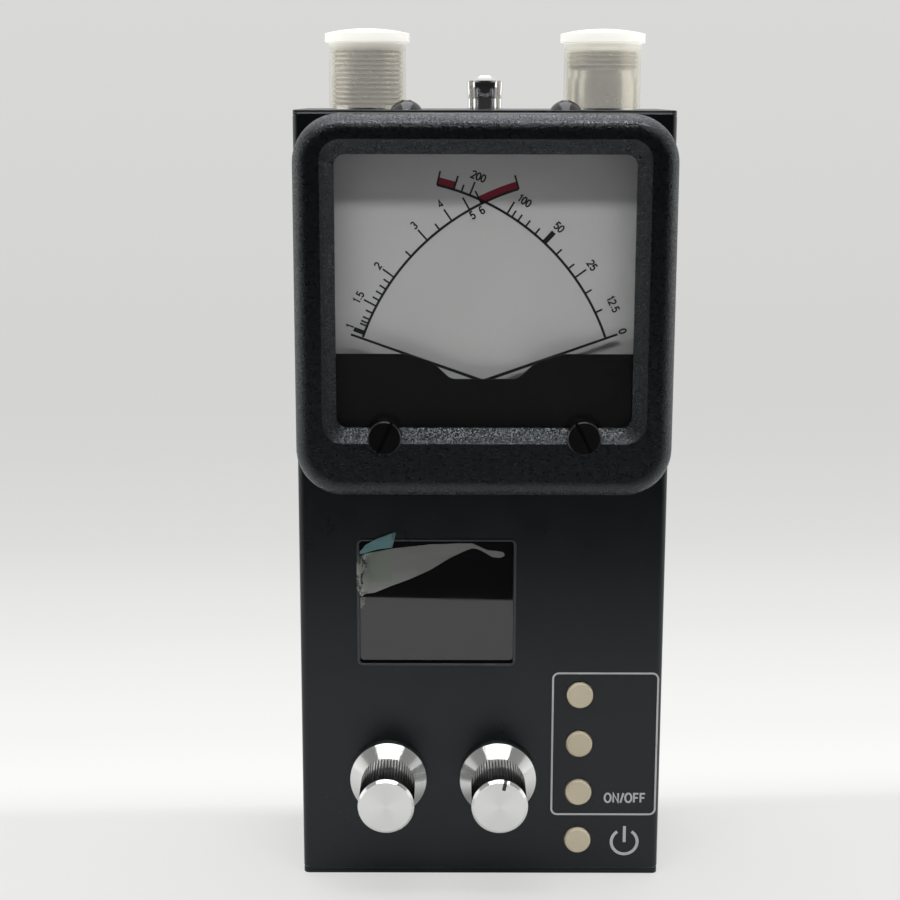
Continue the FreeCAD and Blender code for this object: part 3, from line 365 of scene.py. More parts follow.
def threaded_nickel(name, thread_start):
    """Nickel plate. From thread_start up, crests get a matt painted highlight and grooves a painted shade.
    """
    s = Shade(name)
    x, y, z = s.axes()
    threaded = s.fit(z, thread_start - 0.1, thread_start + 0.1)
    # Painted highlight on the thread's crests, painted shade in its grooves.
    crest_light = s.fit(s.math("SINE", s.times(z, 2.0 * math.pi / THREAD_PITCH)), 0.0, 0.9)
    thread_light_and_shade = s.mix(crest_light, (0.50, 0.47, 0.43), (0.95, 0.91, 0.87))
    matt = s.times(s.times(crest_light, threaded), 0.5)
    return s.done(s.principled(
        Base_Color=s.mix(threaded, (0.68, 0.66, 0.62), thread_light_and_shade), Metallic=s.math("SUBTRACT", 1.0, matt),
        Roughness=s.spread(s.noise(500.0), 0.2, 0.28)))


def clear_lens():
    """A clear moulding, faintly smeared, that lets lamps through to what lies behind it."""
    s = Shade("lens_clear")
    tint = (0.96, 0.965, 0.97)
    smear = s.fit(s.noise(60.0, detail=5.0), 0.35, 0.75, 0.008, 0.03)
    glass = s.principled(Base_Color=tint, Roughness=smear, IOR=1.49, Transmission_Weight=1.0)
    lamp_light = s.math("MAXIMUM", s.ray("Shadow"), s.ray("Diffuse"))
    return s.done(s.blend(lamp_light, glass, s.clear(tint)))


def display_glass():
    """Dark smooth window: nearly black, with a mirror-like front."""
    s = Shade("display_glass")
    smear = s.fit(s.noise(90.0, detail=5.0), 0.4, 0.75, 0.01, 0.035)
    colour = s.mix(s.noise(25.0), (0.003, 0.003, 0.0033), (0.0045, 0.0045, 0.005))
    solid = s.principled(Base_Color=colour, Roughness=smear, IOR=1.72)
    return s.done(s.blend(0.92, s.clear((0.3, 0.3, 0.32)), solid))


def milky_plastic():
    """Soft translucent moulding: white and nearly opaque at the thick flange, clearer in the wall below.

    A faint glow stands for the light that is scattered about inside the plastic.
    """
    s = Shade("milky_plastic")
    x, y, z = s.axes()
    cloud = s.noise(220.0, detail=4.0)
    colour = s.mix(cloud, (0.90, 0.90, 0.87), (0.96, 0.96, 0.93))
    body = s.principled(
        Base_Color=colour, Roughness=s.spread(cloud, 0.3, 0.42), IOR=1.45,
        Emission_Color=colour, Emission_Strength=s.fit(z, FLANGE_Z - 0.3, FLANGE_Z + 0.3, 0.2, 0.44),
        Normal=s.bump(s.noise(500.0), 2e-5, 0.3))
    soft = s.blend(0.35, body, s.translucent(colour))
    see_through = s.fit(z, FLANGE_Z - 1.9, FLANGE_Z + 0.2, 0.78, 0.10)
    return s.done(s.blend(see_through, soft, s.clear((0.985, 0.975, 0.94))))


def dial_paper():
    """Matt off-white print with a faint fibre."""
    s = Shade("dial_paper")
    fibre = s.noise(1500.0, detail=4.0)
    return s.done(s.principled(
        Base_Color=s.tone(s.noise(35.0), (0.675, 0.668, 0.652), (0.705, 0.700, 0.685)),
        Roughness=s.spread(fibre, 0.6, 0.75), Normal=s.bump(fibre, 8e-6, 0.25)))


def wound(name, dark, light, pitch, metal=1.0):
    """Fine wire or conductor lines across a part, a pitch apart in z."""
    s = Shade(name)
    x, y, z = s.axes()
    lines = s.math("SINE", s.times(z, 2.0 * math.pi / pitch))
    return s.done(s.principled(
        Base_Color=s.mix(s.fit(lines, -1.0, 1.0), dark, light), Metallic=metal,
        Roughness=s.spread(s.noise(600.0), 0.25, 0.4), Normal=s.bump(lines, 2e-5, 0.5)))


def circuit_board():
    """Green solder resist with copper tracks showing as paler lines."""
    s = Shade("circuit_board")
    n = s.node("ShaderNodeTexBrick")
    s.put(n.inputs["Vector"], s.coord)
    s.put(n.inputs["Scale"], 260.0)
    s.put(n.inputs["Color1"], (0.01, 0.075, 0.03))
    s.put(n.inputs["Color2"], (0.012, 0.09, 0.036))
    s.put(n.inputs["Mortar"], (0.03, 0.16, 0.07))
    return s.done(s.principled(
        Base_Color=n.outputs["Color"], Roughness=s.spread(s.noise(400.0), 0.3, 0.42),
        Normal=s.bump(n.outputs["Fac"], 2e-5, 0.3)))


PAINT = black_paint()
MOULDING = plain("black_plastic", (0.008, 0.008, 0.009), (0.014, 0.014, 0.015), (0.42, 0.55))
BEZEL = bezel_plastic()
SCREW = plain("black_screw", (0.09, 0.09, 0.094), (0.13, 0.13, 0.135), (0.07, 0.11), depth=5e-6, metal=1.0)
LENS = clear_lens()
PAPER = dial_paper()
MASK = plain("mask_black", (0.003, 0.003, 0.0033), (0.0045, 0.0045, 0.005), (0.3, 0.4),
             grain=1800.0, depth=6e-6)
NEEDLE = plain("needle_black", (0.003, 0.003, 0.003), (0.007, 0.007, 0.007), (0.4, 0.5),
               grain=2000.0, depth=4e-6)
ADJUSTER = plain("adjuster_black", (0.003, 0.003, 0.0033), (0.006, 0.006, 0.0065), (0.12, 0.2),
                 grain=700.0, depth=8e-6)
ZINC = plain("zinc_steel", (0.42, 0.42, 0.42), (0.56, 0.56, 0.55), (0.25, 0.4), metal=1.0)
COPPER = wound("copper", (0.45, 0.16, 0.06), (0.75, 0.33, 0.15), 0.3)
BRONZE = plain("spring_bronze", (0.42, 0.26, 0.10), (0.55, 0.36, 0.16), (0.22, 0.35), metal=1.0)
GLASS = display_glass()
PANEL = plain("display_panel", (0.010, 0.010, 0.012), (0.016, 0.016, 0.018), (0.15, 0.25))
BOARD = circuit_board()
BEIGE = plain("button_beige", (0.635, 0.555, 0.405), (0.70, 0.62, 0.465), (0.4, 0.5),
              grain=1200.0, depth=1e-5)
SHAFT = plain("shaft_metal", (0.60, 0.60, 0.60), (0.74, 0.74, 0.73), (0.22, 0.32), metal=1.0)
UHF_NICKEL = threaded_nickel("uhf_nickel", UHF_THREAD_START)
N_NICKEL = threaded_nickel("n_nickel", N_THREAD_START)
PTFE = plain("white_ptfe", (0.78, 0.78, 0.76), (0.86, 0.86, 0.84), (0.45, 0.6))
GOLD = plain("gold_contact", (0.70, 0.48, 0.16), (0.84, 0.62, 0.26), (0.18, 0.28), metal=1.0)
CAP = milky_plastic()
CHROME = plain("chrome_cap", (0.90, 0.90, 0.91), (0.94, 0.94, 0.95), (0.03, 0.06),
               grain=200.0, depth=1e-6, metal=1.0)
TIN = plain("tin_plate", (0.55, 0.55, 0.55), (0.66, 0.66, 0.65), (0.3, 0.42), metal=1.0)
RIBBON = wound("grey_ribbon", (0.26, 0.27, 0.28), (0.36, 0.37, 0.38), 1.27, metal=0.0)
WRAP = plain("cell_wrap", (0.035, 0.06, 0.14), (0.06, 0.095, 0.20), (0.3, 0.4))

FINISHES = {
    PAINT: ("front_cover", "chassis", "battery_door"),
    MOULDING: ("meter_tub", "battery_holder", "power_socket"),
    BEZEL: ("meter_bezel",),
    SCREW: ("battery_door_screws", "side_screws", "top_screws"),
    LENS: ("meter_lens",),
    PAPER: ("dial_plate",),
    MASK: ("dial_mask",),
    NEEDLE: ("swr_needle", "ohms_needle"),
    ADJUSTER: ("left_zero_adjuster", "right_zero_adjuster"),
    ZINC: ("swr_movement", "ohms_movement", "meter_screws", "board_screws", "band_switch",
           "frequency_encoder", "selector_switch", "bush_nuts", "standoffs",
           "band_set_screw", "frequency_set_screw"),
    COPPER: ("swr_coil", "ohms_coil"),
    BRONZE: ("swr_hairspring", "ohms_hairspring", "battery_contacts"),
    GLASS: ("display_window",),
    PANEL: ("display_module", "button_switches"),
    BOARD: ("display_board", "control_board", "rf_board"),
    BEIGE: ("button_1", "button_2", "button_3", "button_4"),
    SHAFT: ("band_shaft", "frequency_shaft"),
    UHF_NICKEL: ("uhf_jack_shell",),
    N_NICKEL: ("n_jack_shell",),
    PTFE: ("uhf_jack_insulator", "n_jack_insulator"),
    GOLD: ("uhf_jack_contact", "n_jack_contact"),
    CAP: ("uhf_dust_cap", "n_dust_cap"),
    CHROME: ("selector_cap",),
    TIN: ("rf_shield_can",),
    RIBBON: ("ribbon_cable",),
    WRAP: ("battery_cells",),
    turned_metal("band_metal", BAND_AXIS): ("band_knob",),
    turned_metal("frequency_metal", FREQ_AXIS, pointer=True): ("frequency_knob",),
}


def dress(node, material):
    """Puts the material in every slot of a CAD node."""
    mesh = nodes[node].data
    if not mesh.materials:
        mesh.materials.append(material)
    for i in range(len(mesh.materials)):
        mesh.materials[i] = material


for finish, names in FINISHES.items():
    for each in names:
        dress(each, finish)


# Small meshes

PRINT_THICK = 0.03    # thickness of printed marks
MITRE_LIMIT = 0.45    # keeps the corners of a pen stroke from running out to a spike


def new_mesh(name, points, faces):
    """A mesh of points in mm."""
    made = bpy.data.meshes.new(name)
    made.from_pydata([Vector(p) * MM for p in points], [], faces)
    made.update()
    return made


def show(mesh, material):
    """Makes an object of a mesh, with the mesh's name, and lets it ride on the case."""
    obj = bpy.data.objects.new(mesh.name, mesh)
    bpy.context.scene.collection.objects.link(obj)
    mesh.materials.append(material)
    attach(obj, "case")
    return obj


def unit(x, z):
    length = math.hypot(x, z) or 1.0
    return x / length, z / length


def arc(cx, cz, rx, rz, start, end, steps=14):
    """Points on an ellipse from one angle to another, in degrees."""
    turns = [math.radians(start + (end - start) * i / steps) for i in range(steps + 1)]
    return [(cx + rx * math.cos(a), cz + rz * math.sin(a)) for a in turns]


def rounded(x0, x1, z0, z1, radius, steps=8):
    """Points round a rectangle with rounded corners."""
    return (arc(x1 - radius, z1 - radius, radius, radius, 0, 90, steps)
            + arc(x0 + radius, z1 - radius, radius, radius, 90, 180, steps)
            + arc(x0 + radius, z0 + radius, radius, radius, 180, 270, steps)
            + arc(x1 - radius, z0 + radius, radius, radius, 270, 360, steps))


class Plate:
    """Collects flat outlines, given as x and z, as one mesh of thin plates facing -Y."""

    def __init__(self, y, thick=PRINT_THICK):
        self.front = y - thick
        self.back = y
        self.points = []
        self.faces = []

    def outline(self, loop):
        start = len(self.points)
        count = len(loop)
        self.points += [(x, self.front, z) for x, z in loop] + [(x, self.back, z) for x, z in loop]
        self.faces.append([start + i for i in range(count)])
        self.faces.append([start + count + i for i in reversed(range(count))])
        for i in range(count):
            j = (i + 1) % count
            self.faces.append([start + j, start + i, start + count + i, start + count + j])

    def band(self, outer, inner, closed=True):
        """A strip between two lines of points, cut into four-sided pieces."""
        count = len(outer)
        for i in range(count if closed else count - 1):
            j = (i + 1) % count
            self.outline([inner[i], inner[j], outer[j], outer[i]])

    def stroke(self, line, width):
        """A line of points drawn with a pen of the given width, with pointed corners."""
        left = []
        right = []
        last = len(line) - 1
        for i, (x, z) in enumerate(line):
            before = line[max(0, i - 1)]
            after = line[min(last, i + 1)]
            ax, az = unit(x - before[0], z - before[1]) if i else unit(after[0] - x, after[1] - z)
            bx, bz = unit(after[0] - x, after[1] - z) if i < last else (ax, az)
            nx, nz = unit(-az - bz, ax + bx)
            reach = width / 2 / max(MITRE_LIMIT, -nx * az + nz * ax)
            left.append((x + nx * reach, z + nz * reach))
            right.append((x - nx * reach, z - nz * reach))
        self.band(left, right, closed=False)

    def mesh(self, name):
        return new_mesh(name, self.points, self.faces)


# Lettering: each sign is its width and its pen strokes, in a box one unit high

GLYPHS = {
    "0": (0.54, [arc(0.27, 0.5, 0.25, 0.48, 90, 450, 24)]),
    "1": (0.40, [[(0.04, 0.78), (0.24, 0.98), (0.24, 0.0)]]),
    "2": (0.54, [arc(0.27, 0.72, 0.24, 0.26, 165, -35) + [(0.03, 0.03), (0.53, 0.03)]]),
    "3": (0.54, [arc(0.26, 0.74, 0.22, 0.24, 150, -90), arc(0.26, 0.26, 0.25, 0.25, 90, -155)]),
    "4": (0.56, [[(0.40, 0.0), (0.40, 0.96), (0.03, 0.26), (0.56, 0.26)]]),
    "5": (0.54, [[(0.49, 0.96), (0.11, 0.96), (0.06, 0.52)] + arc(0.26, 0.30, 0.25, 0.29, 130, -155)]),
    "6": (0.54, [arc(0.28, 0.52, 0.25, 0.46, 55, 190) + arc(0.28, 0.29, 0.24, 0.28, 180, -180, 20)]),
    ".": (0.22, [[(0.11, 0.0), (0.11, 0.17)]]),
    "/": (0.34, [[(0.02, -0.04), (0.32, 1.02)]]),
    "O": (0.72, [arc(0.36, 0.5, 0.32, 0.48, 90, 450, 24)]),
    "N": (0.66, [[(0.08, 0.0), (0.08, 0.98), (0.58, 0.02), (0.58, 1.0)]]),
    "F": (0.54, [[(0.08, 0.0), (0.08, 0.95), (0.54, 0.95)], [(0.08, 0.50), (0.48, 0.50)]]),
}
GLYPH_GAP = 0.14


def letter(plate, text, x, z, height, turn, width):
    """Draws lettering centred on x and z, turned about its middle."""
    total = sum(GLYPHS[sign][0] for sign in text) + GLYPH_GAP * (len(text) - 1)
    a = math.radians(turn)
    pen = -total / 2
    for sign in text:
        room, strokes = GLYPHS[sign]
        for line in strokes:
            placed = []
            for u, v in line:
                across = (pen + u) * height
                up = (v - 0.5) * height
                placed.append((x + across * math.cos(a) - up * math.sin(a),
                               z + across * math.sin(a) + up * math.cos(a)))
            plate.stroke(placed, width)
        pen += room + GLYPH_GAP


def ink(name, dark, light):
    return plain(name, dark, light, (0.45, 0.6), grain=2500.0, depth=5e-6)


INK_BLACK = ink("ink_black", (0.006, 0.006, 0.006), (0.012, 0.012, 0.012))
INK_RED = ink("ink_red", (0.27, 0.008, 0.030), (0.33, 0.012, 0.040))
INK_GREY = ink("ink_grey", (0.50, 0.50, 0.51), (0.58, 0.58, 0.59))


# Meter scales, as radii about the pivots of the crossed needles and degrees above the pivots' level

ARC_R = 52.5
ARC_LINE = 0.55
ZONE_R = 54.2
LONG_TICK_R = 55.6
SMALL_TICK_R = 54.2
TICK_LINE = 0.4
LABEL_R = 56.9
INNER_LABEL_R = 51.2
NUMBER_HEIGHT = 1.65
NUMBER_LINE = 0.34

# Side -1 climbs from the left about the right pivot, side 1 from the right about the left pivot.
# The bar is a thick tick, as its angle, width and outer radius.
SCALES = {
    -1: {
        "arc": (19.5, 73.3), "zone": (63.7, 73.3),
        "long": (27.75, 36.0, 48.0, 55.5, 60.5, 63.7, 73.3),
        "small": (22.4, 23.1, 24.1, 25.8, 29.3, 30.9, 32.5, 34.2, 42.5, 51.9),
        "bar": (20.6, 1.0, 55.0),
    },
    1: {
        "arc": (19.5, 76.8), "zone": (72.65, 76.8),
        "long": (36.0, 58.6, 68.6, 72.65, 76.8),
        "small": (26.1, 31.4, 38.7, 43.2, 50.3, 53.2, 55.5, 57.2, 70.75),
        "bar": (47.3, 1.15, 55.6),
    },
}
NUMBERS = {
    -1: ((20.9, LABEL_R - 0.9, "1"), (27.7, LABEL_R, "1.5"), (36.0, LABEL_R, "2"), (48.0, LABEL_R, "3"),
         (55.5, LABEL_R + 0.2, "4"), (60.5, INNER_LABEL_R, "5"), (63.1, INNER_LABEL_R, "6")),
    1: ((19.6, LABEL_R - 0.3, "0"), (26.1, LABEL_R, "12.5"), (36.0, LABEL_R + 0.3, "25"),
        (47.2, LABEL_R + 0.3, "50"), (56.8, LABEL_R + 0.1, "100"), (68.3, LABEL_R + 0.1, "200")),
}


def polar(side, radius, degrees):
    angle = math.radians(degrees)
    return -side * PIVOT_X + side * radius * math.cos(angle), PIVOT_Z + radius * math.sin(angle)


def sweep(side, radius, start, end, steps=72):
    return [polar(side, radius, start + (end - start) * i / steps) for i in range(steps + 1)]


def tick(plate, side, degrees, outer, width):
    plate.stroke([polar(side, ARC_R, degrees), polar(side, outer, degrees)], width)


def draw_scales():
    lines = Plate(DIAL_Y)
    zones = Plate(DIAL_Y, PRINT_THICK * 0.6)
    numbers = Plate(DIAL_Y)
    for side, scale in SCALES.items():
        lines.stroke(sweep(side, ARC_R, *scale["arc"]), ARC_LINE)
        zones.band(sweep(side, ZONE_R, *scale["zone"]), sweep(side, ARC_R, *scale["zone"]), closed=False)
        for degrees in scale["long"]:
            tick(lines, side, degrees, LONG_TICK_R, TICK_LINE)
        for degrees in scale["small"]:
            tick(lines, side, degrees, SMALL_TICK_R, TICK_LINE)
        degrees, width, outer = scale["bar"]
        tick(lines, side, degrees, outer, width)
        for degrees, radius, text in NUMBERS[side]:
            x, z = polar(side, radius, degrees)
            letter(numbers, text, x, z, NUMBER_HEIGHT, -side * (90 - degrees), NUMBER_LINE)
    show(lines.mesh("dial_scale_lines"), INK_BLACK)
    show(numbers.mesh("dial_numbers"), INK_BLACK)
    show(zones.mesh("dial_scale_zones"), INK_RED)


draw_scales()


# Front panel print: a frame round three of the buttons, ON/OFF, and a power symbol

FRAME_X0, FRAME_X1 = 16.6, 41.75
FRAME_Z0, FRAME_Z1 = 15.3, 51.0
FRAME_R = 1.6
FRAME_LINE = 0.44
POWER_X, POWER_Z = 34.4, 8.5
POWER_R = 3.1
POWER_LINE = 0.72
POWER_GAP = 34        # degrees each side of straight up that the ring leaves open
POWER_BAR = (-0.1, 4.0)
SWITCH_PLACE = (34.25, 19.7)
SWITCH_HEIGHT = 2.3
SWITCH_LINE = 0.44


def draw_panel():
    marks = Plate(FRONT_Y)
    marks.band(rounded(FRAME_X0, FRAME_X1, FRAME_Z0, FRAME_Z1, FRAME_R),
               rounded(FRAME_X0 + FRAME_LINE, FRAME_X1 - FRAME_LINE,
                       FRAME_Z0 + FRAME_LINE, FRAME_Z1 - FRAME_LINE, FRAME_R - FRAME_LINE))
    marks.stroke(arc(POWER_X, POWER_Z, POWER_R, POWER_R, 90 - POWER_GAP, POWER_GAP - 270, 60), POWER_LINE)
    marks.stroke([(POWER_X, POWER_Z + end) for end in POWER_BAR], POWER_LINE)
    letter(marks, "ON/OFF", *SWITCH_PLACE, SWITCH_HEIGHT, 0.0, SWITCH_LINE)
    show(marks.mesh("panel_print"), INK_GREY)


draw_panel()


# Protective film, half peeled off the display: its upper and lower edges as x and z

FILM_TOP = ((-29.1, 78.6), (-28.6, 79.2), (-20.9, 80.7), (-12.1, 81.7), (-5.2, 82.0), (-2.4, 82.0),
            (-1.0, 81.4), (1.3, 80.3), (3.0, 80.2), (4.8, 79.9), (5.2, 79.4))
FILM_LOW = ((-29.1, 71.8), (-28.5, 70.2), (-28.0, 69.3), (-27.1, 69.8), (-25.0, 70.1), (-21.5, 71.6),
            (-16.8, 73.4), (-12.1, 75.6), (-7.5, 78.5), (-3.8, 80.3), (-2.4, 80.8), (-1.2, 80.7),
            (0.6, 79.8), (2.3, 78.7), (4.1, 78.5), (5.2, 79.0))
FILM_X0, FILM_X1 = FILM_TOP[0][0], FILM_TOP[-1][0]
FILM_GAP = 0.22       # how far the film hangs off the window
FILM_LEAST_GAP = 0.1
FILM_BOW = 0.14       # how much further its lower edge bows out
CRUMPLE_X = -26.6     # left of this the film is creased
CRUMPLE_HEIGHT = 0.10
CRUMPLE_AT = 0.02     # where the creases are highest and how far they spread, as shares of its length
CRUMPLE_SPREAD = 0.05
CRUMPLE_DOWN, CRUMPLE_ALONG = 19.0, 30.0     # how fast they wave down and along it, in radians
OVER_BEAD_X = -27.5   # left of this it climbs onto the raised edge
OVER_BEAD_RUN = 0.9
OVER_BEAD = 1.5
TAPE_X1 = -21.0       # the strip of tape lies left of this and above the next
TAPE_Z0 = 72.6
SCRAP_LOOP = ((-28.4, 68.9), (-27.1, 68.9), (-27.4, 67.4), (-28.1, 66.2), (-28.4, 66.2))
TAB_LOOP = ((-28.5, 80.1), (-28.2, 79.7), (-24.1, 80.9), (-20.8, 81.3), (-20.0, 84.7), (-20.2, 85.0),
            (-24.1, 83.5), (-26.9, 82.0))
TAB_GAP = 0.12
SHEET_THICK = 0.09


def film_material(name, tint, cover, rough, creased=1.0, wrinkled=0.35, shaded=0.82, ripples=120.0):
    """Thin film that hides a share, cover, of what lies under it.

    It is creased at its left edge, where a strip of tape lies on it. The creases carry painted highlights
    and painted shade, and its ripples are painted with shade, down to the share shaded of their tint.
    """
    s = Shade(name)
    x, y, z = s.axes()
    edge = s.times(s.fit(x, CRUMPLE_X - 0.9, CRUMPLE_X + 0.5, 1.0, 0.0), creased)
    crease = s.noise(620.0, stretch=(1.0, 1.0, 0.75))
    ripple = s.noise(ripples, detail=2.0, stretch=(0.5, 1.0, 1.5))
    height = s.plus(s.times(crease, edge), s.times(ripple, wrinkled))
    tape = s.times(s.below(x, TAPE_X1), s.above(z, TAPE_Z0))
    shade = tuple(shaded * c for c in tint)
    greenish = (0.86 * tint[0], 0.96 * tint[1], 0.88 * tint[2])
    # Painted shade on the ripples; the greenish part is the strip of tape.
    colour = s.mix(tape, s.mix(s.fit(ripple, 0.35, 0.65), shade, tint), greenish)
    # Painted highlight along the creases.
    crease_highlight = s.fit(crease, 0.42, 0.6)
    colour = s.mix(s.times(edge, crease_highlight), colour, (0.45, 0.45, 0.43))
    # Painted shade along the creases: there the film hides less of the dark window behind it.
    dark = s.times(edge, s.fit(crease, 0.5, 0.42))
    body = s.principled(Base_Color=colour, Roughness=rough, IOR=1.5, Normal=s.bump(height, 2.5e-4, 0.7))
    hides = s.times(s.math("SUBTRACT", 1.0, s.times(dark, 0.7)), cover)
    return s.done(s.blend(hides, s.clear((0.9, 0.92, 0.92)), body))


def smooth(t):
    """Rises softly from 0 to 1 as t does."""
    t = min(1.0, max(0.0, t))
    return t * t * (3.0 - 2.0 * t)


def height_on(line, x):
    """The level of a line of points at x."""
    for (x0, z0), (x1, z1) in zip(line, line[1:]):
        if x <= x1:
            return z0 + (z1 - z0) * (x - x0) / (x1 - x0)
    return line[-1][1]


def film_lift(u, v, x):
    """How far the film stands off the window, at shares u from its left end and v down from its top."""
    crumple = math.exp(-((u - CRUMPLE_AT) / CRUMPLE_SPREAD) ** 2)
    over_bead = smooth((OVER_BEAD_X - x) / OVER_BEAD_RUN)
    lift = FILM_GAP + OVER_BEAD * over_bead
    lift += FILM_BOW * v * math.sin(math.pi * u)
    lift += CRUMPLE_HEIGHT * crumple * math.sin(v * CRUMPLE_DOWN + u * CRUMPLE_ALONG)
    return max(FILM_LEAST_GAP, lift)


def film_mesh():
    """The loose film, as a grid from its upper edge down to its lower one."""
    across, down = 90, 14
    points = []
    faces = []
    for j in range(down + 1):
        v = j / down
        for i in range(across + 1):
            u = i / across
            x = FILM_X0 + (FILM_X1 - FILM_X0) * u
            z = height_on(FILM_TOP, x) * (1 - v) + height_on(FILM_LOW, x) * v
            points.append((x, GLASS_Y - film_lift(u, v, x), z))
    for j in range(down):
        for i in range(across):
            a = j * (across + 1) + i
            faces.append((a, a + across + 1, a + across + 2, a + 1))
    mesh = new_mesh("display_film_sheet", points, faces)
    for polygon in mesh.polygons:
        polygon.use_smooth = True
    return mesh


def hang_film():
    film = film_material("clear_film", (0.43, 0.43, 0.415), 0.66, 0.3)
    sheet = show(film_mesh(), film)
    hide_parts("display_film")
    scrap = Plate(GLASS_Y - FILM_LEAST_GAP, SHEET_THICK)
    scrap.outline(SCRAP_LOOP[::-1])
    show(scrap.mesh("film_scrap"), film)
    tab = Plate(BEAD_Y - TAB_GAP, SHEET_THICK)
    tab.outline(TAB_LOOP)
    teal = film_material("film_tab", (0.21, 0.37, 0.42), 0.74, 0.25,
                         creased=0.0, wrinkled=1.0, shaded=0.5, ripples=480.0)
    show(tab.mesh("film_pull_tab"), teal)


hang_film()


# Stage: a sheet of pale paper and the backdrop behind it, in metres

PAPER_EDGE_Y = -0.252
PAPER_EDGE_SLOPE = -0.068     # the paper's front edge runs a little askew
FLOOR_SLOPE = -0.061          # and so do its bands of light
FLOOR_WHITE = ((0.84, 0.84, 0.835), (0.86, 0.86, 0.855))
BEYOND_PAPER = (0.03, 0.03, 0.03)
NEAR_WHITE = (0.80, 0.80, 0.795)
NEAR_LIT = 0.35               # share of the near paper's look that comes from the lamps and shadows
BEHIND_START, BEHIND_END = 0.014, 0.024      # depths between which the near paper gives way
# How bright the paper looks straight on, by its depth.
FLOOR_STOPS = (
    (0.008, 0.80), (0.016, 0.825), (0.024, 0.895), (0.034, 0.95), (0.048, 0.965), (0.075, 0.93),
    (0.115, 0.90), (0.17, 0.84), (0.24, 0.78), (0.30, 0.725), (0.5, 0.67), (1.0, 0.66))
WALL_Y = 0.9
STAGE_SIZE = 6.0


def depth_ramp(s, depth):
    """The brightness of the paper at a depth."""
    ramp = s.node("ShaderNodeValToRGB")
    ramp.color_ramp.interpolation = "CARDINAL"
    s.put(ramp.inputs[0], s.fit(depth, 0.0, 1.0))
    elements = ramp.color_ramp.elements
    while len(elements) > 1:
        elements.remove(elements[0])
    for i, (place, value) in enumerate(FLOOR_STOPS):
        stop = elements[0] if i == 0 else elements.new(place)
        stop.position = place
        stop.color = (value, value, value * 0.99, 1.0)
    return ramp.outputs[0]


def floor_material():
    """Pale paper.

    Seen straight on, it brightens behind the object and dims with distance, as a lit sweep does.
    In reflections it is plain lit paper as far as its front edge, and dark beyond.
    """
    s = Shade("stage_paper")
    x, y, z = s.split(s.coord)
    depth = s.plus(y, s.times(x, FLOOR_SLOPE))
    white = s.mix(s.noise(30.0), *FLOOR_WHITE)
    edge = s.plus(y, s.times(x, PAPER_EDGE_SLOPE))
    on_paper = s.fit(edge, PAPER_EDGE_Y - 0.001, PAPER_EDGE_Y + 0.001)
    reflected = s.diffuse(s.mix(on_paper, BEYOND_PAPER, white))
    near = s.blend(NEAR_LIT, s.glow(NEAR_WHITE), s.diffuse(white))
    behind = s.fit(depth, BEHIND_START, BEHIND_END)
    direct = s.blend(behind, near, s.glow(depth_ramp(s, depth)))
    return s.done(s.blend(s.ray("Camera"), reflected, direct))


def wall_material():
    """Backdrop, a little lighter towards the top."""
    s = Shade("stage_wall")
    x, y, z = s.split(s.coord)
    rise = s.fit(z, 0.0, 0.9)
    return s.done(s.glow(s.mix(rise, (0.66, 0.66, 0.65), (0.78, 0.78, 0.77))))


def stage_plane(name, place, turn, material):
    rotation = (math.radians(turn), 0.0, 0.0)
    bpy.ops.mesh.primitive_plane_add(size=STAGE_SIZE, location=place, rotation=rotation)
    plane = bpy.context.object
    plane.name = name
    plane.data.transform(plane.matrix_world)
    plane.matrix_world = Matrix.Identity(4)
    plane.data.materials.append(material)


stage_plane("stage_floor", (0.0, 0.0, 0.0), 0.0, floor_material())
stage_plane("stage_wall", (0.0, WALL_Y, STAGE_SIZE / 2), 90.0, wall_material())


# Lamps, in metres

def lamp(name, place, aim, size, radiance):
    """A soft rectangular lamp of the given brightness."""
    data = bpy.data.lights.new(name, "AREA")
    data.shape = "RECTANGLE"
    data.size, data.size_y = size
    data.energy = radiance * math.pi * size[0] * size[1]
    obj = bpy.data.objects.new(name, data)
    obj.location = place
    obj.rotation_euler = (Vector(aim) - Vector(place)).to_track_quat("-Z", "Y").to_euler()
    bpy.context.scene.collection.objects.link(obj)


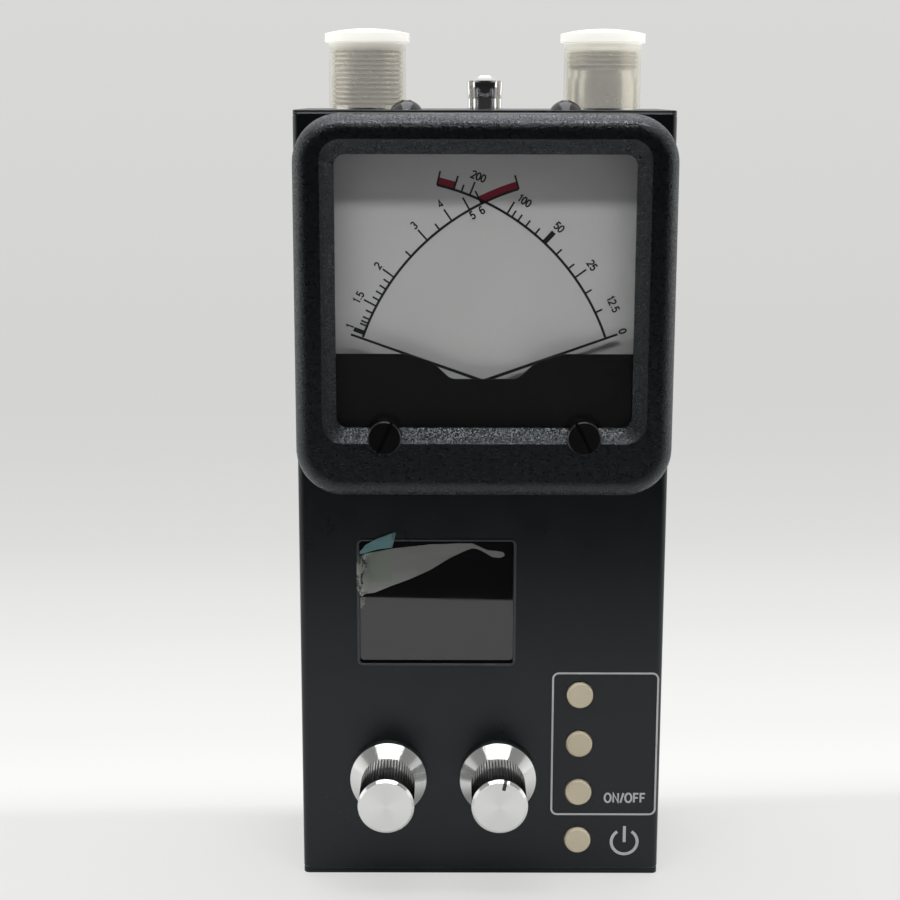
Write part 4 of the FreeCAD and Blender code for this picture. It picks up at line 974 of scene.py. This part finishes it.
lamp("top_box", (0.0, 0.0, 1.0), (0.0, 0.0, 0.1), (0.70, 1.2), 1.25)
lamp("front_strip", (0.0, -0.31, 0.606), (0.0, -0.03, 0.12), (0.7, 0.04), 19.0)
lamp("left_side", (-0.8, 0.1, 0.2), (0.0, 0.1, 0.2), (0.9, 0.4), 0.95)
lamp("right_side", (0.8, 0.1, 0.2), (0.0, 0.1, 0.2), (0.9, 0.4), 0.95)


# Surroundings: a white tent, dim towards the camera, with dark seams beside its roof lamp

TENT_DIM, TENT_BRIGHT = 0.03, 0.6
SEAM_START, SEAM_END = 0.35, 0.43     # sideways lean from straight up, as x over z
SEAM_LIGHT = 0.02
SKY_LIGHT = 0.72                      # what the camera sees above the backdrop


def surroundings():
    world = bpy.data.worlds.new("studio")
    world.use_nodes = True
    bpy.context.scene.world = world
    n = Nodes(world.node_tree)
    x, y, z = n.split(n.node("ShaderNodeTexCoord").outputs["Generated"])
    depth = n.fit(y, -0.8, -0.1, TENT_DIM, TENT_BRIGHT)
    lean = n.math("DIVIDE", n.math("ABSOLUTE", x), n.math("MAXIMUM", z, 0.02))
    tent = n.level(n.between(lean, SEAM_START, SEAM_END), depth, SEAM_LIGHT)
    back = n.node("ShaderNodeBackground")
    n.put(back.inputs["Strength"], n.level(n.ray("Camera"), tent, SKY_LIGHT))
    n.put(back.inputs["Color"], (1.0, 1.0, 0.99))
    out = n.node("ShaderNodeOutputWorld")
    n.put(out.inputs["Surface"], back.outputs[0])


surroundings()


# Camera, fitted to the photograph

CAMERA_PLACE = (-0.00754, -0.4128, 0.1843)    # metres
CAMERA_LENS = 69.84
CAMERA_SENSOR = 36.0
CAMERA_PITCH = 11.56                          # degrees down from level
CAMERA_ROLL = 0.12


def place_camera():
    data = bpy.data.cameras.new("camera")
    data.lens = CAMERA_LENS
    data.sensor_width = CAMERA_SENSOR
    data.clip_start, data.clip_end = 0.01, 20.0
    camera = bpy.data.objects.new("camera", data)
    camera.matrix_world = (
        Matrix.Translation(CAMERA_PLACE)
        @ Matrix.Rotation(math.radians(90.0 - CAMERA_PITCH), 4, "X")
        @ Matrix.Rotation(math.radians(CAMERA_ROLL), 4, "Z"))
    bpy.context.scene.collection.objects.link(camera)
    bpy.context.scene.camera = camera


place_camera()
bpy.context.scene.view_settings.view_transform = "Standard"
